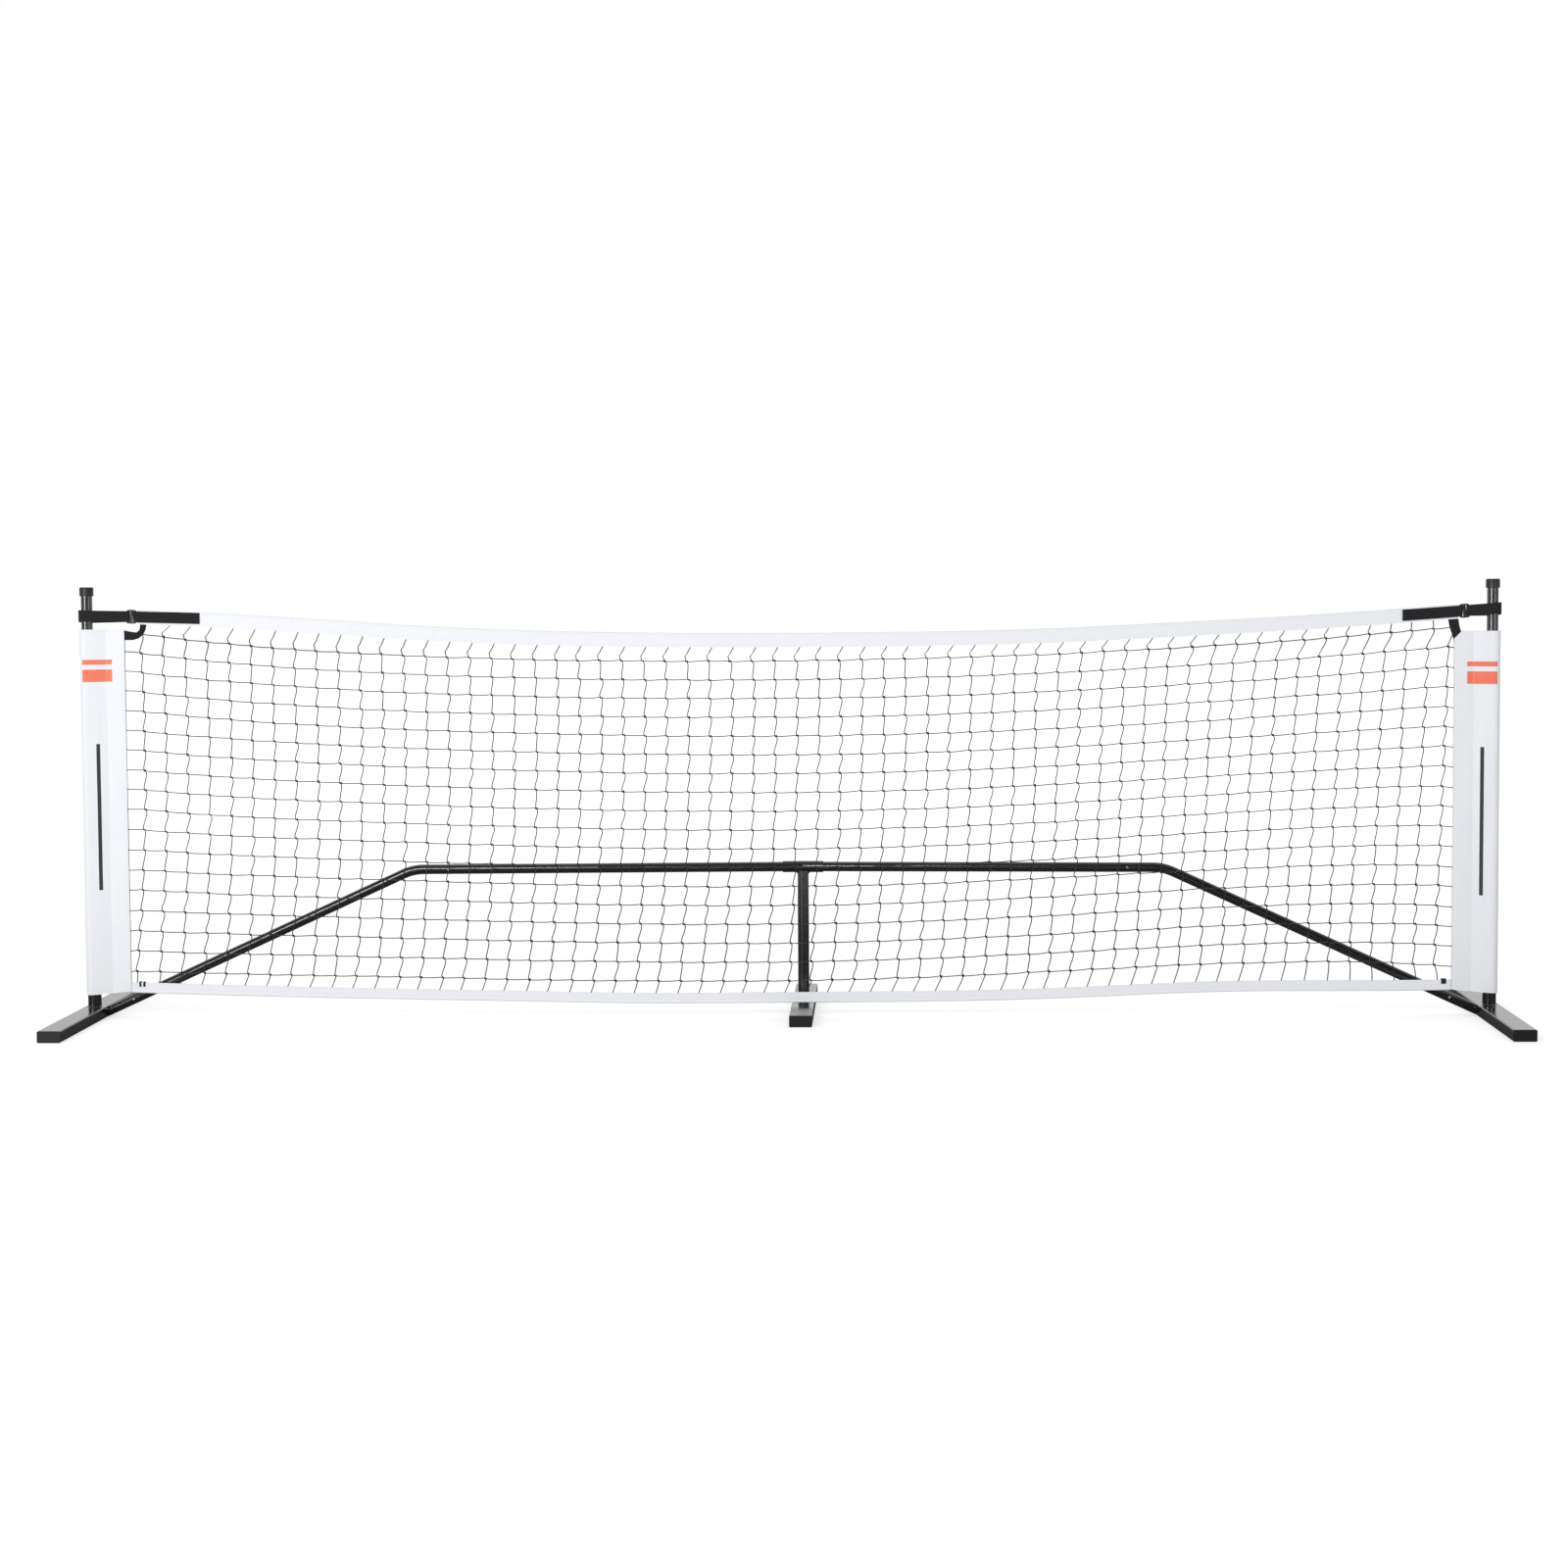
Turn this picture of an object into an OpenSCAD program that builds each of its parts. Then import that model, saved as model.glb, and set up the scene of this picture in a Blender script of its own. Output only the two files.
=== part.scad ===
// Portable half-width court net: three steel feet, a knock-down tube frame held
// by snap buttons, and a knotted net hung between two posts.
// Millimetres, +Z up, +X along the net. The origin is on the floor, midway
// between the posts and under the net.

/* [Overall] */
// Distance between the two post axes
post_span = 3140; // [2900:10:3400]
// Height of the top tape at mid-span
net_height_mid = 864; // [850:1:880]
// How much higher the top tape is when it is carried on to the post axes
net_sag = 61; // [40:1:80]

/* [Feet] */
// Width of the rectangular foot tubes
foot_w = 50.8; // [46:0.1:60]
// Height of the rectangular foot tubes
foot_h = 25.4; // [24:0.1:32]
// Wall of the foot tubes
foot_wall = 1.6; // [1.2:0.1:2.5]
// Outer corner radius of the foot tubes
foot_corner = 3; // [2:0.1:3.6]
// Length of each side foot over its end plugs
side_foot_len = 760; // [600:5:900]
// How far the centre foot reaches in front of the net
mid_foot_front = 160; // [100:5:240]
// Thickness of the lip on each end plug
plug_lip = 3; // [2:0.5:5]
// Depth of the end plug inside the tube
plug_depth = 18; // [12:1:30]
// Wall of the hollow part of the end plug
plug_wall = 2; // [1.5:0.1:3]
// Gap between the end plug and the tube around it
plug_gap = 0.2; // [0.1:0.05:0.3]

/* [Posts] */
// Outer diameter of the posts
post_od = 25.4; // [25:0.1:28]
// How far the post tubes stand above the top tape's height at the posts
post_above_net = 45; // [40:1:80]
// Wall of the posts
post_wall = 1.2; // [1:0.1:1.6]
// Wall of the sockets that hold the posts
socket_wall = 2.1; // [1.6:0.1:3]
// How far each socket stands above its foot
socket_rise = 27; // [24:1:36]
// Radial gap between a post and its socket, and between any two nested tubes
tube_gap = 0.2; // [0.1:0.05:0.3]
// Wall of the post caps around the tube
cap_wall = 2.9; // [2:0.1:4]
// Height of the post caps below the tube's top edge
cap_skirt = 15; // [10:1:18]
// Thickness of the post caps above the tube
cap_crown = 5; // [3:0.5:8]
// Radius of the post caps' top edge
cap_round = 3; // [1:0.5:4]

/* [Bars] */
// Outer diameter of the cross bars
bar_od = 22.2; // [21:0.1:24]
// Wall of the cross bars and their stubs
bar_wall = 1.2; // [1:0.1:1.5]
// Height of the level part of the bars
bar_h = 330; // [280:5:400]
// Distance behind the net at which the stubs leave the side feet
stub_back = 28; // [24:1:40]
// Distance behind the net of the tee and the centre post
tee_back = 110; // [80:5:140]
// How far the tee stands to the right of mid-span
tee_shift = 36; // [-60:1:60]
// Length of each stub along its slope
stub_len = 73; // [66:1:100]
// Level distance from the foot's side to the corner of the bend
bend_run = 695; // [600:5:760]
// Radius of the bend, to the middle of the tube
bend_radius = 110; // [80:5:140]
// Level distance from the corner of the bend to the end of the bent bar
level_run = 90; // [88:1:120]
// Length of the thinned spigot on the end of a bar
spigot_len = 48; // [40:1:52]
// Length of the thick-walled shoulder behind a spigot
shoulder_len = 4; // [3:0.5:8]
// How far the straight parts of a bar run into its bend
bend_lap = 1.5; // [1:0.1:2]
// How much thicker the wall is in the bend, inside and out
bend_swell = 0.05; // [0.04:0.01:0.2]
// Wall of the tee's arms
tee_wall = 1.7; // [1.4:0.1:2.4]
// Length of each arm of the tee
tee_arm = 46; // [40:1:60]
// Half the thickness of the stop between the tee's arms
tee_stop = 3; // [2:0.5:6]
// How far the centre post's coped end rises beside the tee
tee_cope = 4; // [2:0.5:6]
// Size of the fillet between the centre post and the tee
tee_fillet = 5; // [3:0.5:8]
// How far that fillet laps over the tee's underside
fillet_lap = 1.5; // [1:0.1:2.5]
// Leg of the weld beads
weld_leg = 2.5; // [1.5:0.1:3]
// How deep a weld bead bites into the wall of its tube
weld_bite = 0.5; // [0.3:0.1:0.8]

/* [Snap buttons] */
// Diameter of the button pins
button_d = 6.2; // [5:0.1:6.6]
// Gap round the pins in their holes
button_gap = 0.2; // [0.1:0.05:0.3]
// How far a button stands proud of the outer tube
button_proud = 3; // [2:0.1:3.4]
// Diameter of the flange that stops the button
flange_d = 8.4; // [7.8:0.1:9]
// Thickness of that flange
flange_t = 0.8; // [0.6:0.1:1.2]
// Distance of a bar's button from the mouth of the tube around it
button_inset = 9; // [8:0.5:12]
// Distance of a tee's button from the mouth of its arm
tee_button_inset = 16; // [12:1:20]
// Thickness of the spring strip
clip_t = 0.6; // [0.4:0.1:0.8]
// Width of the spring strip
clip_w = 8; // [6:0.5:9]
// Length of the spring's straight legs
clip_len = 30; // [24:1:34]

/* [Net] */
// Height of the top tape
top_tape_h = 32; // [30:1:36]
// Height of the bottom tape
bottom_tape_h = 24; // [20:1:28]
// Height of the bottom tape's lower edge at mid-span
bottom_mid = 33; // [30:1:50]
// How much higher that edge is when it is carried on to the post axes
bottom_sag = 27; // [10:1:40]
// Distance from a post's axis to the end of the top tape, with the tape central
tape_inset_mid = 97.5; // [96:0.5:120]
// How far the tape lies to the right between the posts
net_shift = 19.5; // [0:0.5:20]
// Thickness of the vinyl tape and sleeves
vinyl_t = 0.9; // [0.7:0.1:1.2]
// Half the width of the slot between two layers of vinyl
slot_half = 2.5; // [2.4:0.05:3]
// Diameter of the net's twine
twine_d = 2; // [1.4:0.1:2.1]
// Gap between the upright twine and the level twine
twine_gap = 0.2; // [0.1:0.05:0.3]
// Diameter of the cords inside the two tapes
edge_cord_d = 4.4; // [4:0.1:4.7]
// Width of one mesh
mesh_w = 48.6; // [40:0.1:60]
// Height of one mesh
mesh_h = 43.2; // [36:0.1:50]

/* [Sleeves] */
// Gap between the sleeves' top edge and the lower corner of the top tape
sleeve_gap = 4.2; // [4:0.1:12]
// How far each sleeve reaches inboard of its post's axis
sleeve_reach = 85; // [78:1:92]
// How far the sleeve's pocket stands off the post on the outer side
pocket_slack = 3.6; // [2:0.1:5]
// Distance from the post's axis to the narrow end of its pocket
pocket_len = 36; // [32:1:38]
// Width of the seam that closes the pocket
seam_w = 7.5; // [5:0.5:9]
// Size of the corner cut off the right sleeve's top
corner_cut = 17; // [8:1:20]

/* [Webbing and buckles] */
// Width of the webbing
web_w = 25; // [22:0.5:26]
// Thickness of the webbing
web_t = 1.5; // [1.2:0.1:1.7]
// Thickness of the side webbing inside the sleeves
side_web_t = 1.2; // [0.8:0.1:1.3]
// Distance from the post's axis to the side webbing
side_web_inset = 52; // [50:0.5:55]
// Height of the side webbing where it leaves the sleeve's top corner
corner_web_h = 27; // [24:0.5:30]
// Width of the side webbing where it meets the top tape
corner_web_w = 22; // [18:0.5:26]
// How far the side webbing laps over the top tape
corner_web_lap = 6; // [4:0.5:10]
// Distance from the end of the tape to the middle of the buckle
buckle_gap = 16; // [15:0.5:20]
// Length of the webbing from the buckle's middle to its sewn end
strap_end_len = 137; // [110:1:150]
// How far the strap stands off the post on the outer side
strap_slack = 3.8; // [2:0.1:5]
// Length of the buckles
buckle_l = 20; // [19.5:0.5:22]
// Diameter of the buckles' bars
buckle_bar_d = 4; // [3.4:0.1:4.2]
// Thickness of the buckles' rails
rail_t = 2; // [1.6:0.1:3]

/* [Hidden] */

$fn = 48;
LEFT = -1;
RIGHT = 1;
arc_fn = 1440;              // fineness of the very large sag arcs
rest_gap = 0.3;             // between soft parts and what they bear on
strap_gap = 0.5;            // between a strap loop and its post
eps = 1;                    // overshoot of a cut

powder_coat = [0.075, 0.075, 0.08];
black_plastic = [0.10, 0.10, 0.105];
steel = [0.72, 0.73, 0.74];
white_vinyl = [0.94, 0.95, 0.97];
black_web = [0.11, 0.11, 0.12];
black_twine = [0.16, 0.16, 0.16];

half_span = post_span / 2;
foot_face = half_span - foot_w / 2;         // inner side of a side foot
foot_half = side_foot_len / 2;
post_r = post_od / 2;
post_top = net_height_mid + net_sag + post_above_net;
socket_bore = post_r + tube_gap;
socket_r = socket_bore + socket_wall;
socket_top = foot_h + socket_rise;
post_button_z = foot_h + socket_rise / 2;
cap_bore = post_r + tube_gap;
cap_r = post_r + cap_wall;

bar_r = bar_od / 2;
bar_bore = bar_r - bar_wall;
spigot_r = bar_bore - tube_gap;
spigot_bore = spigot_r - bar_wall;
stub_h = foot_h / 2;
slope = atan2(bar_h - stub_h, bend_run);
slope_len = bend_run / cos(slope);
bend_leg = bend_radius * tan(slope / 2);    // corner to tangent point
joint_at = bend_run + level_run;
tee_bore = bar_r + tube_gap;
tee_r = tee_bore + tee_wall;

pin_r = button_d / 2;
hole_r = pin_r + button_gap;
flange_r = flange_d / 2;
pin_straight = 1.2;                         // straight part of a pin above the tube

twine_r = twine_d / 2;
row_side = twine_r * sqrt(PI);              // side of a square strand as thick as the twine
upright_y = -(twine_r + twine_gap / 2);
row_y = twine_r + twine_gap / 2;
tape_out = slot_half + vinyl_t;             // half thickness of a tape
hem_z = socket_top + rest_gap;
top_r = sag_radius(half_span, net_sag);
bottom_r = sag_radius(half_span, bottom_sag);
mesh_top_end = net_height_mid + net_sag - top_tape_h;
mesh_top_mid = net_height_mid - top_tape_h;
mesh_bottom_end = bottom_mid + bottom_sag + bottom_tape_h;
mesh_bottom_mid = bottom_mid + bottom_tape_h;
side_columns = floor((half_span - sleeve_reach - 20) / mesh_w);
rows = round((mesh_top_mid - mesh_bottom_mid) / mesh_h);
tape_half = half_span - tape_inset_mid;     // half the length of the top tape
sleeve_top = tape_bottom_at(half_span - tape_inset(LEFT)) - sleeve_gap;
cord_room = 2 * tape_out - 0.8;             // depth of a tape that its cord fills
bottom_half = half_span - sleeve_reach - rest_gap;  // half the length of the bottom tape

strap_wrap_r = buckle_bar_d / 2 + rest_gap; // inside of the webbing round a bar
buckle_bar_x = (buckle_l - buckle_bar_d - 1) / 2;

// Radius of an arc that sags by s over a half span h, in whole millimetres
function sag_radius(h, s) = round((h * h + s * s) / (2 * s));
// Height above the arc's lowest point at distance x from mid-span
function sag_rise(x, r) = r - sqrt(r * r - x * x);
// Level distance and turn, seen from above, of one half of the frame
function half_dx(side) = foot_face - side * tee_shift;
function half_run(side) = norm([half_dx(side), tee_back - stub_back]);
function half_turn(side) = atan2(tee_back - stub_back, half_dx(side));
// Distance from a post's axis to the end of the top tape
function tape_inset(side) = tape_inset_mid - side * net_shift;
function buckle_inset(side) = tape_inset(side) - buckle_gap;
function tape_top_at(x) = net_height_mid + sag_rise(x, top_r);
function tape_bottom_at(x) = tape_top_at(x) - top_tape_h;
function tape_tilt(side) = asin((half_span - buckle_inset(side)) / top_r);
// Radius of a soft loop that bears on a round post: seat is the loop's distance
// from the post's axis, slack the set-back of its centre, narrow the radius of
// its far end and len that end's distance from the post's axis
function loop_r(seat, slack, narrow, len) = (seat * (len + slack) - slack * narrow) / len;
// Points on a circle centred at [x, 0]
function arc_points(r, x, from, to, steps) = [
    for (i = [0 : steps]) let (a = from + (to - from) * i / steps) [x + r * cos(a), r * sin(a)]
];

// ---------------------------------------------------------------- placing

// Mirrors its children to the right-hand side
module on_side(side) {
    if (side == RIGHT) mirror([1, 0, 0]) children();
    else children();
}

// Local X runs from the foot's inner side to the tee, seen from above
module half_frame(side) {
    on_side(side) translate([-foot_face, stub_back, 0])
        rotate([0, 0, half_turn(side)]) children();
}

// Local Z runs up the sloping part of a half frame
module up_slope(side, distance) {
    half_frame(side) translate([0, 0, stub_h]) rotate([0, -slope, 0])
        translate([distance, 0, 0]) rotate([0, 90, 0]) children();
}

// Local Z runs along the level part of a half frame, towards the tee
module along_level(side, distance) {
    half_frame(side) translate([distance, 0, bar_h]) rotate([0, 90, 0]) children();
}

// The four button places. Local Z points out along the pin, local X points
// along the inner tube, away from its end.
module at_post_button(side) {
    on_side(side) translate([-half_span, 0, post_button_z])
        rotate([-90, 0, 0]) rotate([0, 0, -90]) children();
}

module at_stub_button(side) {
    up_slope(side, stub_len - button_inset) rotate([90, 0, 0]) rotate([0, 0, 90]) children();
}

module at_bar_button(side) {
    along_level(side, joint_at - button_inset) rotate([90, 0, 0]) rotate([0, 0, 90]) children();
}

module at_tee_button(side) {
    along_level(side, half_run(side) - tee_arm + tee_button_inset)
        rotate([-90, 0, 0]) rotate([0, 0, 90]) children();
}

// Local X runs inboard along the top tape, with its origin in the buckle
module at_buckle(side) {
    on_side(side)
        translate([-half_span + buckle_inset(side), 0,
                   tape_top_at(half_span - buckle_inset(side)) - top_tape_h / 2])
        rotate([0, tape_tilt(side), 0]) children();
}

// A flat profile swept both ways from mid-span along a sagging arc. The
// profile's X is the depth below the arc, and its Y is the model's Y.
module sag_sweep(mid_z, r, from_x, to_x) {
    translate([0, 0, mid_z + r]) for (side = [LEFT, RIGHT])
        on_side(side) rotate([-90, 0, 0]) rotate([0, 0, 90])
        rotate_extrude(angle = asin((side == LEFT ? -from_x : to_x) / r), $fn = arc_fn)
        translate([r, 0]) children();
}

// ---------------------------------------------------------------- shapes

module rounded_rect(w, h, r) {
    square([w - 2 * r, h], center = true);
    square([w, h - 2 * r], center = true);
    for (x = [-1, 1], y = [-1, 1])
        translate([x * (w / 2 - r), y * (h / 2 - r)]) circle(r, $fn = 32);
}

// Two circles joined by their outer tangents
module belt(r1, r2, len) {
    lean = asin((r1 - r2) / len);
    polygon(concat(arc_points(r1, 0, 90 - lean, 270 + lean, 32),
                   arc_points(r2, len, lean - 90, 90 - lean, 16)));
}

module tube(r, bore, h) {
    difference() {
        cylinder(r = r, h = h);
        translate([0, 0, -eps]) cylinder(r = bore, h = h + 2 * eps);
    }
}

// A bead of weld round a tube, which bites a little way into its wall
module weld_bead(r, leg) {
    rotate_extrude() polygon([[r - weld_bite, 0], [r + leg, 0], [r, leg], [r - weld_bite, leg]]);
}

module button_hole() {
    cylinder(r = hole_r, h = post_od);
}

// ---------------------------------------------------------------- feet

module foot_tube(length) {
    color(powder_coat) translate([0, 0, foot_h / 2]) rotate([90, 0, 0])
        linear_extrude(length - 2 * plug_lip, center = true) difference() {
            rounded_rect(foot_w, foot_h, foot_corner);
            rounded_rect(foot_w - 2 * foot_wall, foot_h - 2 * foot_wall, foot_corner - foot_wall);
        }
}

module side_foot(side) {
    difference() {
        translate([side * half_span, 0, 0]) foot_tube(side_foot_len);
        translate([side * half_span, 0, foot_h / 2]) cylinder(r = socket_r + tube_gap, h = foot_h);
    }
}

module centre_foot() {
    translate([tee_shift, (foot_half - mid_foot_front) / 2, 0])
        foot_tube(foot_half + mid_foot_front);
}

// Local Y points out of the tube's end
module end_plug() {
    translate([0, 0, foot_h / 2]) rotate([90, 0, 0]) {
        translate([0, 0, -plug_lip]) linear_extrude(plug_lip)
            rounded_rect(foot_w, foot_h, foot_corner);
        linear_extrude(plug_depth) difference() {
            plug_outline(plug_gap);
            plug_outline(plug_gap + plug_wall);
        }
    }
}

module plug_outline(inset) {
    rounded_rect(foot_w - 2 * (foot_wall + inset), foot_h - 2 * (foot_wall + inset), 1);
}

module foot_end_plugs() {
    color(black_plastic) {
        for (side = [LEFT, RIGHT]) {
            translate([side * half_span, foot_half - plug_lip, 0]) end_plug();
            translate([side * half_span, plug_lip - foot_half, 0]) mirror([0, 1, 0]) end_plug();
        }
        translate([tee_shift, foot_half - plug_lip, 0]) end_plug();
        translate([tee_shift, plug_lip - mid_foot_front, 0]) mirror([0, 1, 0]) end_plug();
    }
}

// ---------------------------------------------------------------- posts

module post_socket(side) {
    color(powder_coat) difference() {
        translate([side * half_span, 0, 0]) {
            difference() {
                translate([0, 0, foot_wall]) cylinder(r = socket_r, h = socket_top - foot_wall);
                cylinder(r = socket_bore, h = socket_top + eps);
            }
            translate([0, 0, foot_h]) weld_bead(socket_r, weld_leg);
        }
        at_post_button(side) button_hole();
    }
}

module post(side) {
    color(powder_coat) difference() {
        translate([side * half_span, 0, foot_wall]) cylinder(r = post_r, h = post_top - foot_wall);
        translate([side * half_span, 0, 0]) cylinder(r = post_r - post_wall, h = post_top + eps);
        at_post_button(side) button_hole();
    }
}

module post_cap(side) {
    color(black_plastic) translate([side * half_span, 0, post_top - cap_skirt]) difference() {
        rotate_extrude() {
            square([cap_r, cap_skirt + cap_crown - cap_round]);
            square([cap_r - cap_round, cap_skirt + cap_crown]);
            intersection() {
                translate([cap_r - cap_round, cap_skirt + cap_crown - cap_round])
                    circle(cap_round, $fn = 32);
                square([cap_r, cap_skirt + cap_crown]);
            }
        }
        translate([0, 0, -eps]) cylinder(r = cap_bore, h = cap_skirt + eps);
    }
}

// ---------------------------------------------------------------- bars

// The stub is cut flush with the side of the foot that it is welded to
module bar_stub(side) {
    overrun = bar_od;
    color(powder_coat) difference() {
        up_slope(side, -overrun) cylinder(r = bar_r, h = stub_len + overrun);
        up_slope(side, -overrun - eps) cylinder(r = bar_bore, h = stub_len + overrun + 2 * eps);
        on_side(side) translate([-foot_face - foot_w, -foot_w, -foot_w])
            cube([foot_w, 3 * foot_w, 3 * foot_w]);
        at_stub_button(side) button_hole();
    }
}

// Local Z runs through the middle of the bend. The bend starts at the level part.
module in_bend(side) {
    half_frame(side) translate([bend_run + bend_leg, 0, bar_h - bend_radius])
        rotate([90, 0, 0]) rotate([0, 0, 90]) children();
}

// Local Z runs down the slope from the bend
module below_bend(side, distance) {
    in_bend(side) rotate([0, 0, slope]) translate([bend_radius, distance, 0])
        rotate([-90, 0, 0]) children();
}

// Spigot, shoulder, slope, bend and level part. The bend's wall is a hair
// thicker, and the straight parts run a little way into it.
module bent_bar(side) {
    plain_len = slope_len - bend_leg - stub_len - shoulder_len;
    color(powder_coat) difference() {
        union() {
            below_bend(side, plain_len + shoulder_len) tube(spigot_r, spigot_bore, spigot_len);
            below_bend(side, plain_len) tube(bar_r, spigot_bore, shoulder_len);
            below_bend(side, -bend_lap) tube(bar_r, bar_bore, plain_len + bend_lap);
            in_bend(side) rotate_extrude(angle = slope, $fn = 240)
                translate([bend_radius, 0]) difference() {
                    circle(bar_r + bend_swell);
                    circle(bar_bore - bend_swell);
                }
            along_level(side, bend_run + bend_leg - bend_lap)
                tube(bar_r, bar_bore, level_run - bend_leg + bend_lap);
        }
        at_stub_button(side) button_hole();
        at_bar_button(side) button_hole();
    }
}

module inner_bar(side) {
    plain_from = joint_at + shoulder_len;
    color(powder_coat) difference() {
        union() {
            along_level(side, joint_at - spigot_len) tube(spigot_r, spigot_bore, spigot_len);
            along_level(side, joint_at) tube(bar_r, spigot_bore, shoulder_len);
            along_level(side, plain_from)
                tube(bar_r, bar_bore, half_run(side) - tee_stop - tube_gap - plain_from);
        }
        at_bar_button(side) button_hole();
        at_tee_button(side) button_hole();
    }
}

// One arm of the tee as a solid rod, mitred where it meets the other
module tee_arm_rod(side, r) {
    over = 2 * tee_arm;
    difference() {
        along_level(side, half_run(side) - tee_arm) cylinder(r = r, h = tee_arm + tee_r);
        translate([tee_shift, tee_back, bar_h])
            rotate([0, 0, (half_turn(LEFT) - half_turn(RIGHT)) / 2])
            translate([side == LEFT ? 0 : -over, -over / 2, -over / 2]) cube(over);
    }
}

module tee_sleeve() {
    color(powder_coat) for (side = [LEFT, RIGHT]) difference() {
        tee_arm_rod(side, tee_r);
        along_level(side, half_run(side) - tee_arm - eps)
            cylinder(r = tee_bore, h = tee_arm - tee_stop + eps);
        at_tee_button(side) button_hole();
    }
}

// The top of the post is cut to fit under the tee and filleted along the bar
module centre_post() {
    under_tee = bar_h - tee_r;
    color(powder_coat) difference() {
        translate([tee_shift, tee_back, 0]) {
            translate([0, 0, foot_h])
                tube(post_r, post_r - post_wall, under_tee + tee_cope - foot_h);
            translate([0, 0, foot_h]) weld_bead(post_r, weld_leg);
            intersection() {
                translate([0, 0, under_tee + fillet_lap]) mirror([0, 0, 1])
                    weld_bead(post_r, tee_fillet);
                translate([0, 0, bar_h]) cube([2 * post_od, post_od / 2, bar_h], center = true);
            }
        }
        for (side = [LEFT, RIGHT]) tee_arm_rod(side, tee_r);
    }
}

// ---------------------------------------------------------------- snap buttons

// Height of the top of the flange, just inside a tube of inner radius bore
function flange_z(bore) = sqrt(bore * bore - flange_r * flange_r) - 0.15;

module snap_button(bore, outer_r) {
    pin_top = outer_r + button_proud;
    dome_r = 3.6;
    color(steel) {
        translate([0, 0, flange_z(bore) - flange_t]) cylinder(r = flange_r, h = flange_t);
        translate([0, 0, flange_z(bore)])
            cylinder(r = pin_r, h = outer_r + pin_straight - flange_z(bore));
        intersection() {
            translate([0, 0, outer_r]) cylinder(r = pin_r, h = button_proud + eps);
            translate([0, 0, pin_top - dome_r]) sphere(dome_r);
        }
    }
}

// A U-shaped strip spring that lies along the inside of the tube
module button_spring(bore) {
    fixed_z = -sqrt(bore * bore - clip_w * clip_w / 4) + 0.25;
    bow_top = 1;
    tip_z = flange_z(bore) - 0.1;
    tip_x = flange_r + rest_gap;
    bow_r = (bow_top - fixed_z) / 2;
    translate([0, clip_w / 2, 0]) rotate([90, 0, 0]) linear_extrude(clip_w) {
        translate([-flange_r, fixed_z]) square([clip_len + flange_r, clip_t]);
        translate([clip_len, fixed_z + bow_r]) intersection() {
            difference() {
                circle(bow_r);
                circle(bow_r - clip_t);
            }
            translate([0, -bow_r]) square([bow_r, 2 * bow_r]);
        }
        polygon([[tip_x, tip_z - clip_t], [clip_len, bow_top - clip_t],
                 [clip_len, bow_top], [tip_x, tip_z]]);
    }
}

module post_button(side) {
    at_post_button(side) snap_button(post_r - post_wall, socket_r);
}

module stub_button(side) {
    at_stub_button(side) snap_button(spigot_bore, bar_r);
}

module bar_button(side) {
    at_bar_button(side) snap_button(spigot_bore, bar_r);
}

module tee_button(side) {
    at_tee_button(side) snap_button(bar_bore, tee_r);
}

module button_springs() {
    color(steel) for (side = [LEFT, RIGHT]) {
        at_post_button(side) button_spring(post_r - post_wall);
        at_stub_button(side) button_spring(spigot_bore);
        at_bar_button(side) button_spring(spigot_bore);
        at_tee_button(side) button_spring(bar_bore);
    }
}

// ---------------------------------------------------------------- net

// A folded tape, closed round its cord at x = 0 and open at x = depth
module folded_tape(depth) {
    difference() {
        union() {
            translate([tape_out, 0]) circle(tape_out, $fn = 32);
            translate([tape_out, -tape_out]) square([depth - tape_out, 2 * tape_out]);
        }
        translate([tape_out, 0]) circle(slot_half, $fn = 32);
        translate([tape_out, -slot_half]) square([depth, 2 * slot_half]);
    }
}

module top_tape() {
    color(white_vinyl)
        sag_sweep(net_height_mid, top_r, net_shift - tape_half, net_shift + tape_half)
        folded_tape(top_tape_h);
}

module top_cord() {
    color(black_twine)
        sag_sweep(net_height_mid, top_r, net_shift - tape_half, net_shift + tape_half)
        translate([tape_out, 0]) circle(edge_cord_d / 2, $fn = 24);
}

module bottom_tape() {
    color(white_vinyl) sag_sweep(bottom_mid, bottom_r, -bottom_half, bottom_half)
        mirror([1, 0]) folded_tape(bottom_tape_h);
}

module bottom_cord() {
    color(black_twine) sag_sweep(bottom_mid, bottom_r, -bottom_half, bottom_half)
        translate([-tape_out, 0]) circle(edge_cord_d / 2, $fn = 24);
}

// The outermost uprights end under the corner webbing
module net_uprights() {
    color(black_twine) for (i = [-side_columns : side_columns]) {
        x = i * mesh_w;
        foot_z = bottom_mid + sag_rise(x, bottom_r) + cord_room;
        top_z = abs(i) == side_columns ? sleeve_top - corner_web_h - rest_gap
                                       : tape_top_at(x) - cord_room;
        translate([x, upright_y, foot_z]) cylinder(r = twine_r, h = top_z - foot_z, $fn = 16);
    }
}

// The rows share out the height between the tapes. Each is a square strand
// that runs straight over two meshes at a time.
module net_rows() {
    reach = half_span - side_web_inset;
    steps = side_columns;
    color(black_twine) for (k = [0 : rows - 1]) {
        share = (k + 0.5) / rows;
        mid_z = mesh_bottom_mid + share * (mesh_top_mid - mesh_bottom_mid);
        end_z = mesh_bottom_end + share * (mesh_top_end - mesh_bottom_end);
        r = sag_radius(half_span, end_z - mid_z);
        strand = [for (i = [0 : steps]) let (x = reach * (2 * i / steps - 1))
                      [x, mid_z + sag_rise(x, r)]];
        translate([0, row_y + row_side / 2, 0]) rotate([90, 0, 0]) linear_extrude(row_side)
            polygon(concat([for (p = strand) p + [0, row_side / 2]],
                           [for (i = [steps : -1 : 0]) strand[i] - [0, row_side / 2]]));
    }
}

// ---------------------------------------------------------------- sleeves

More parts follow.
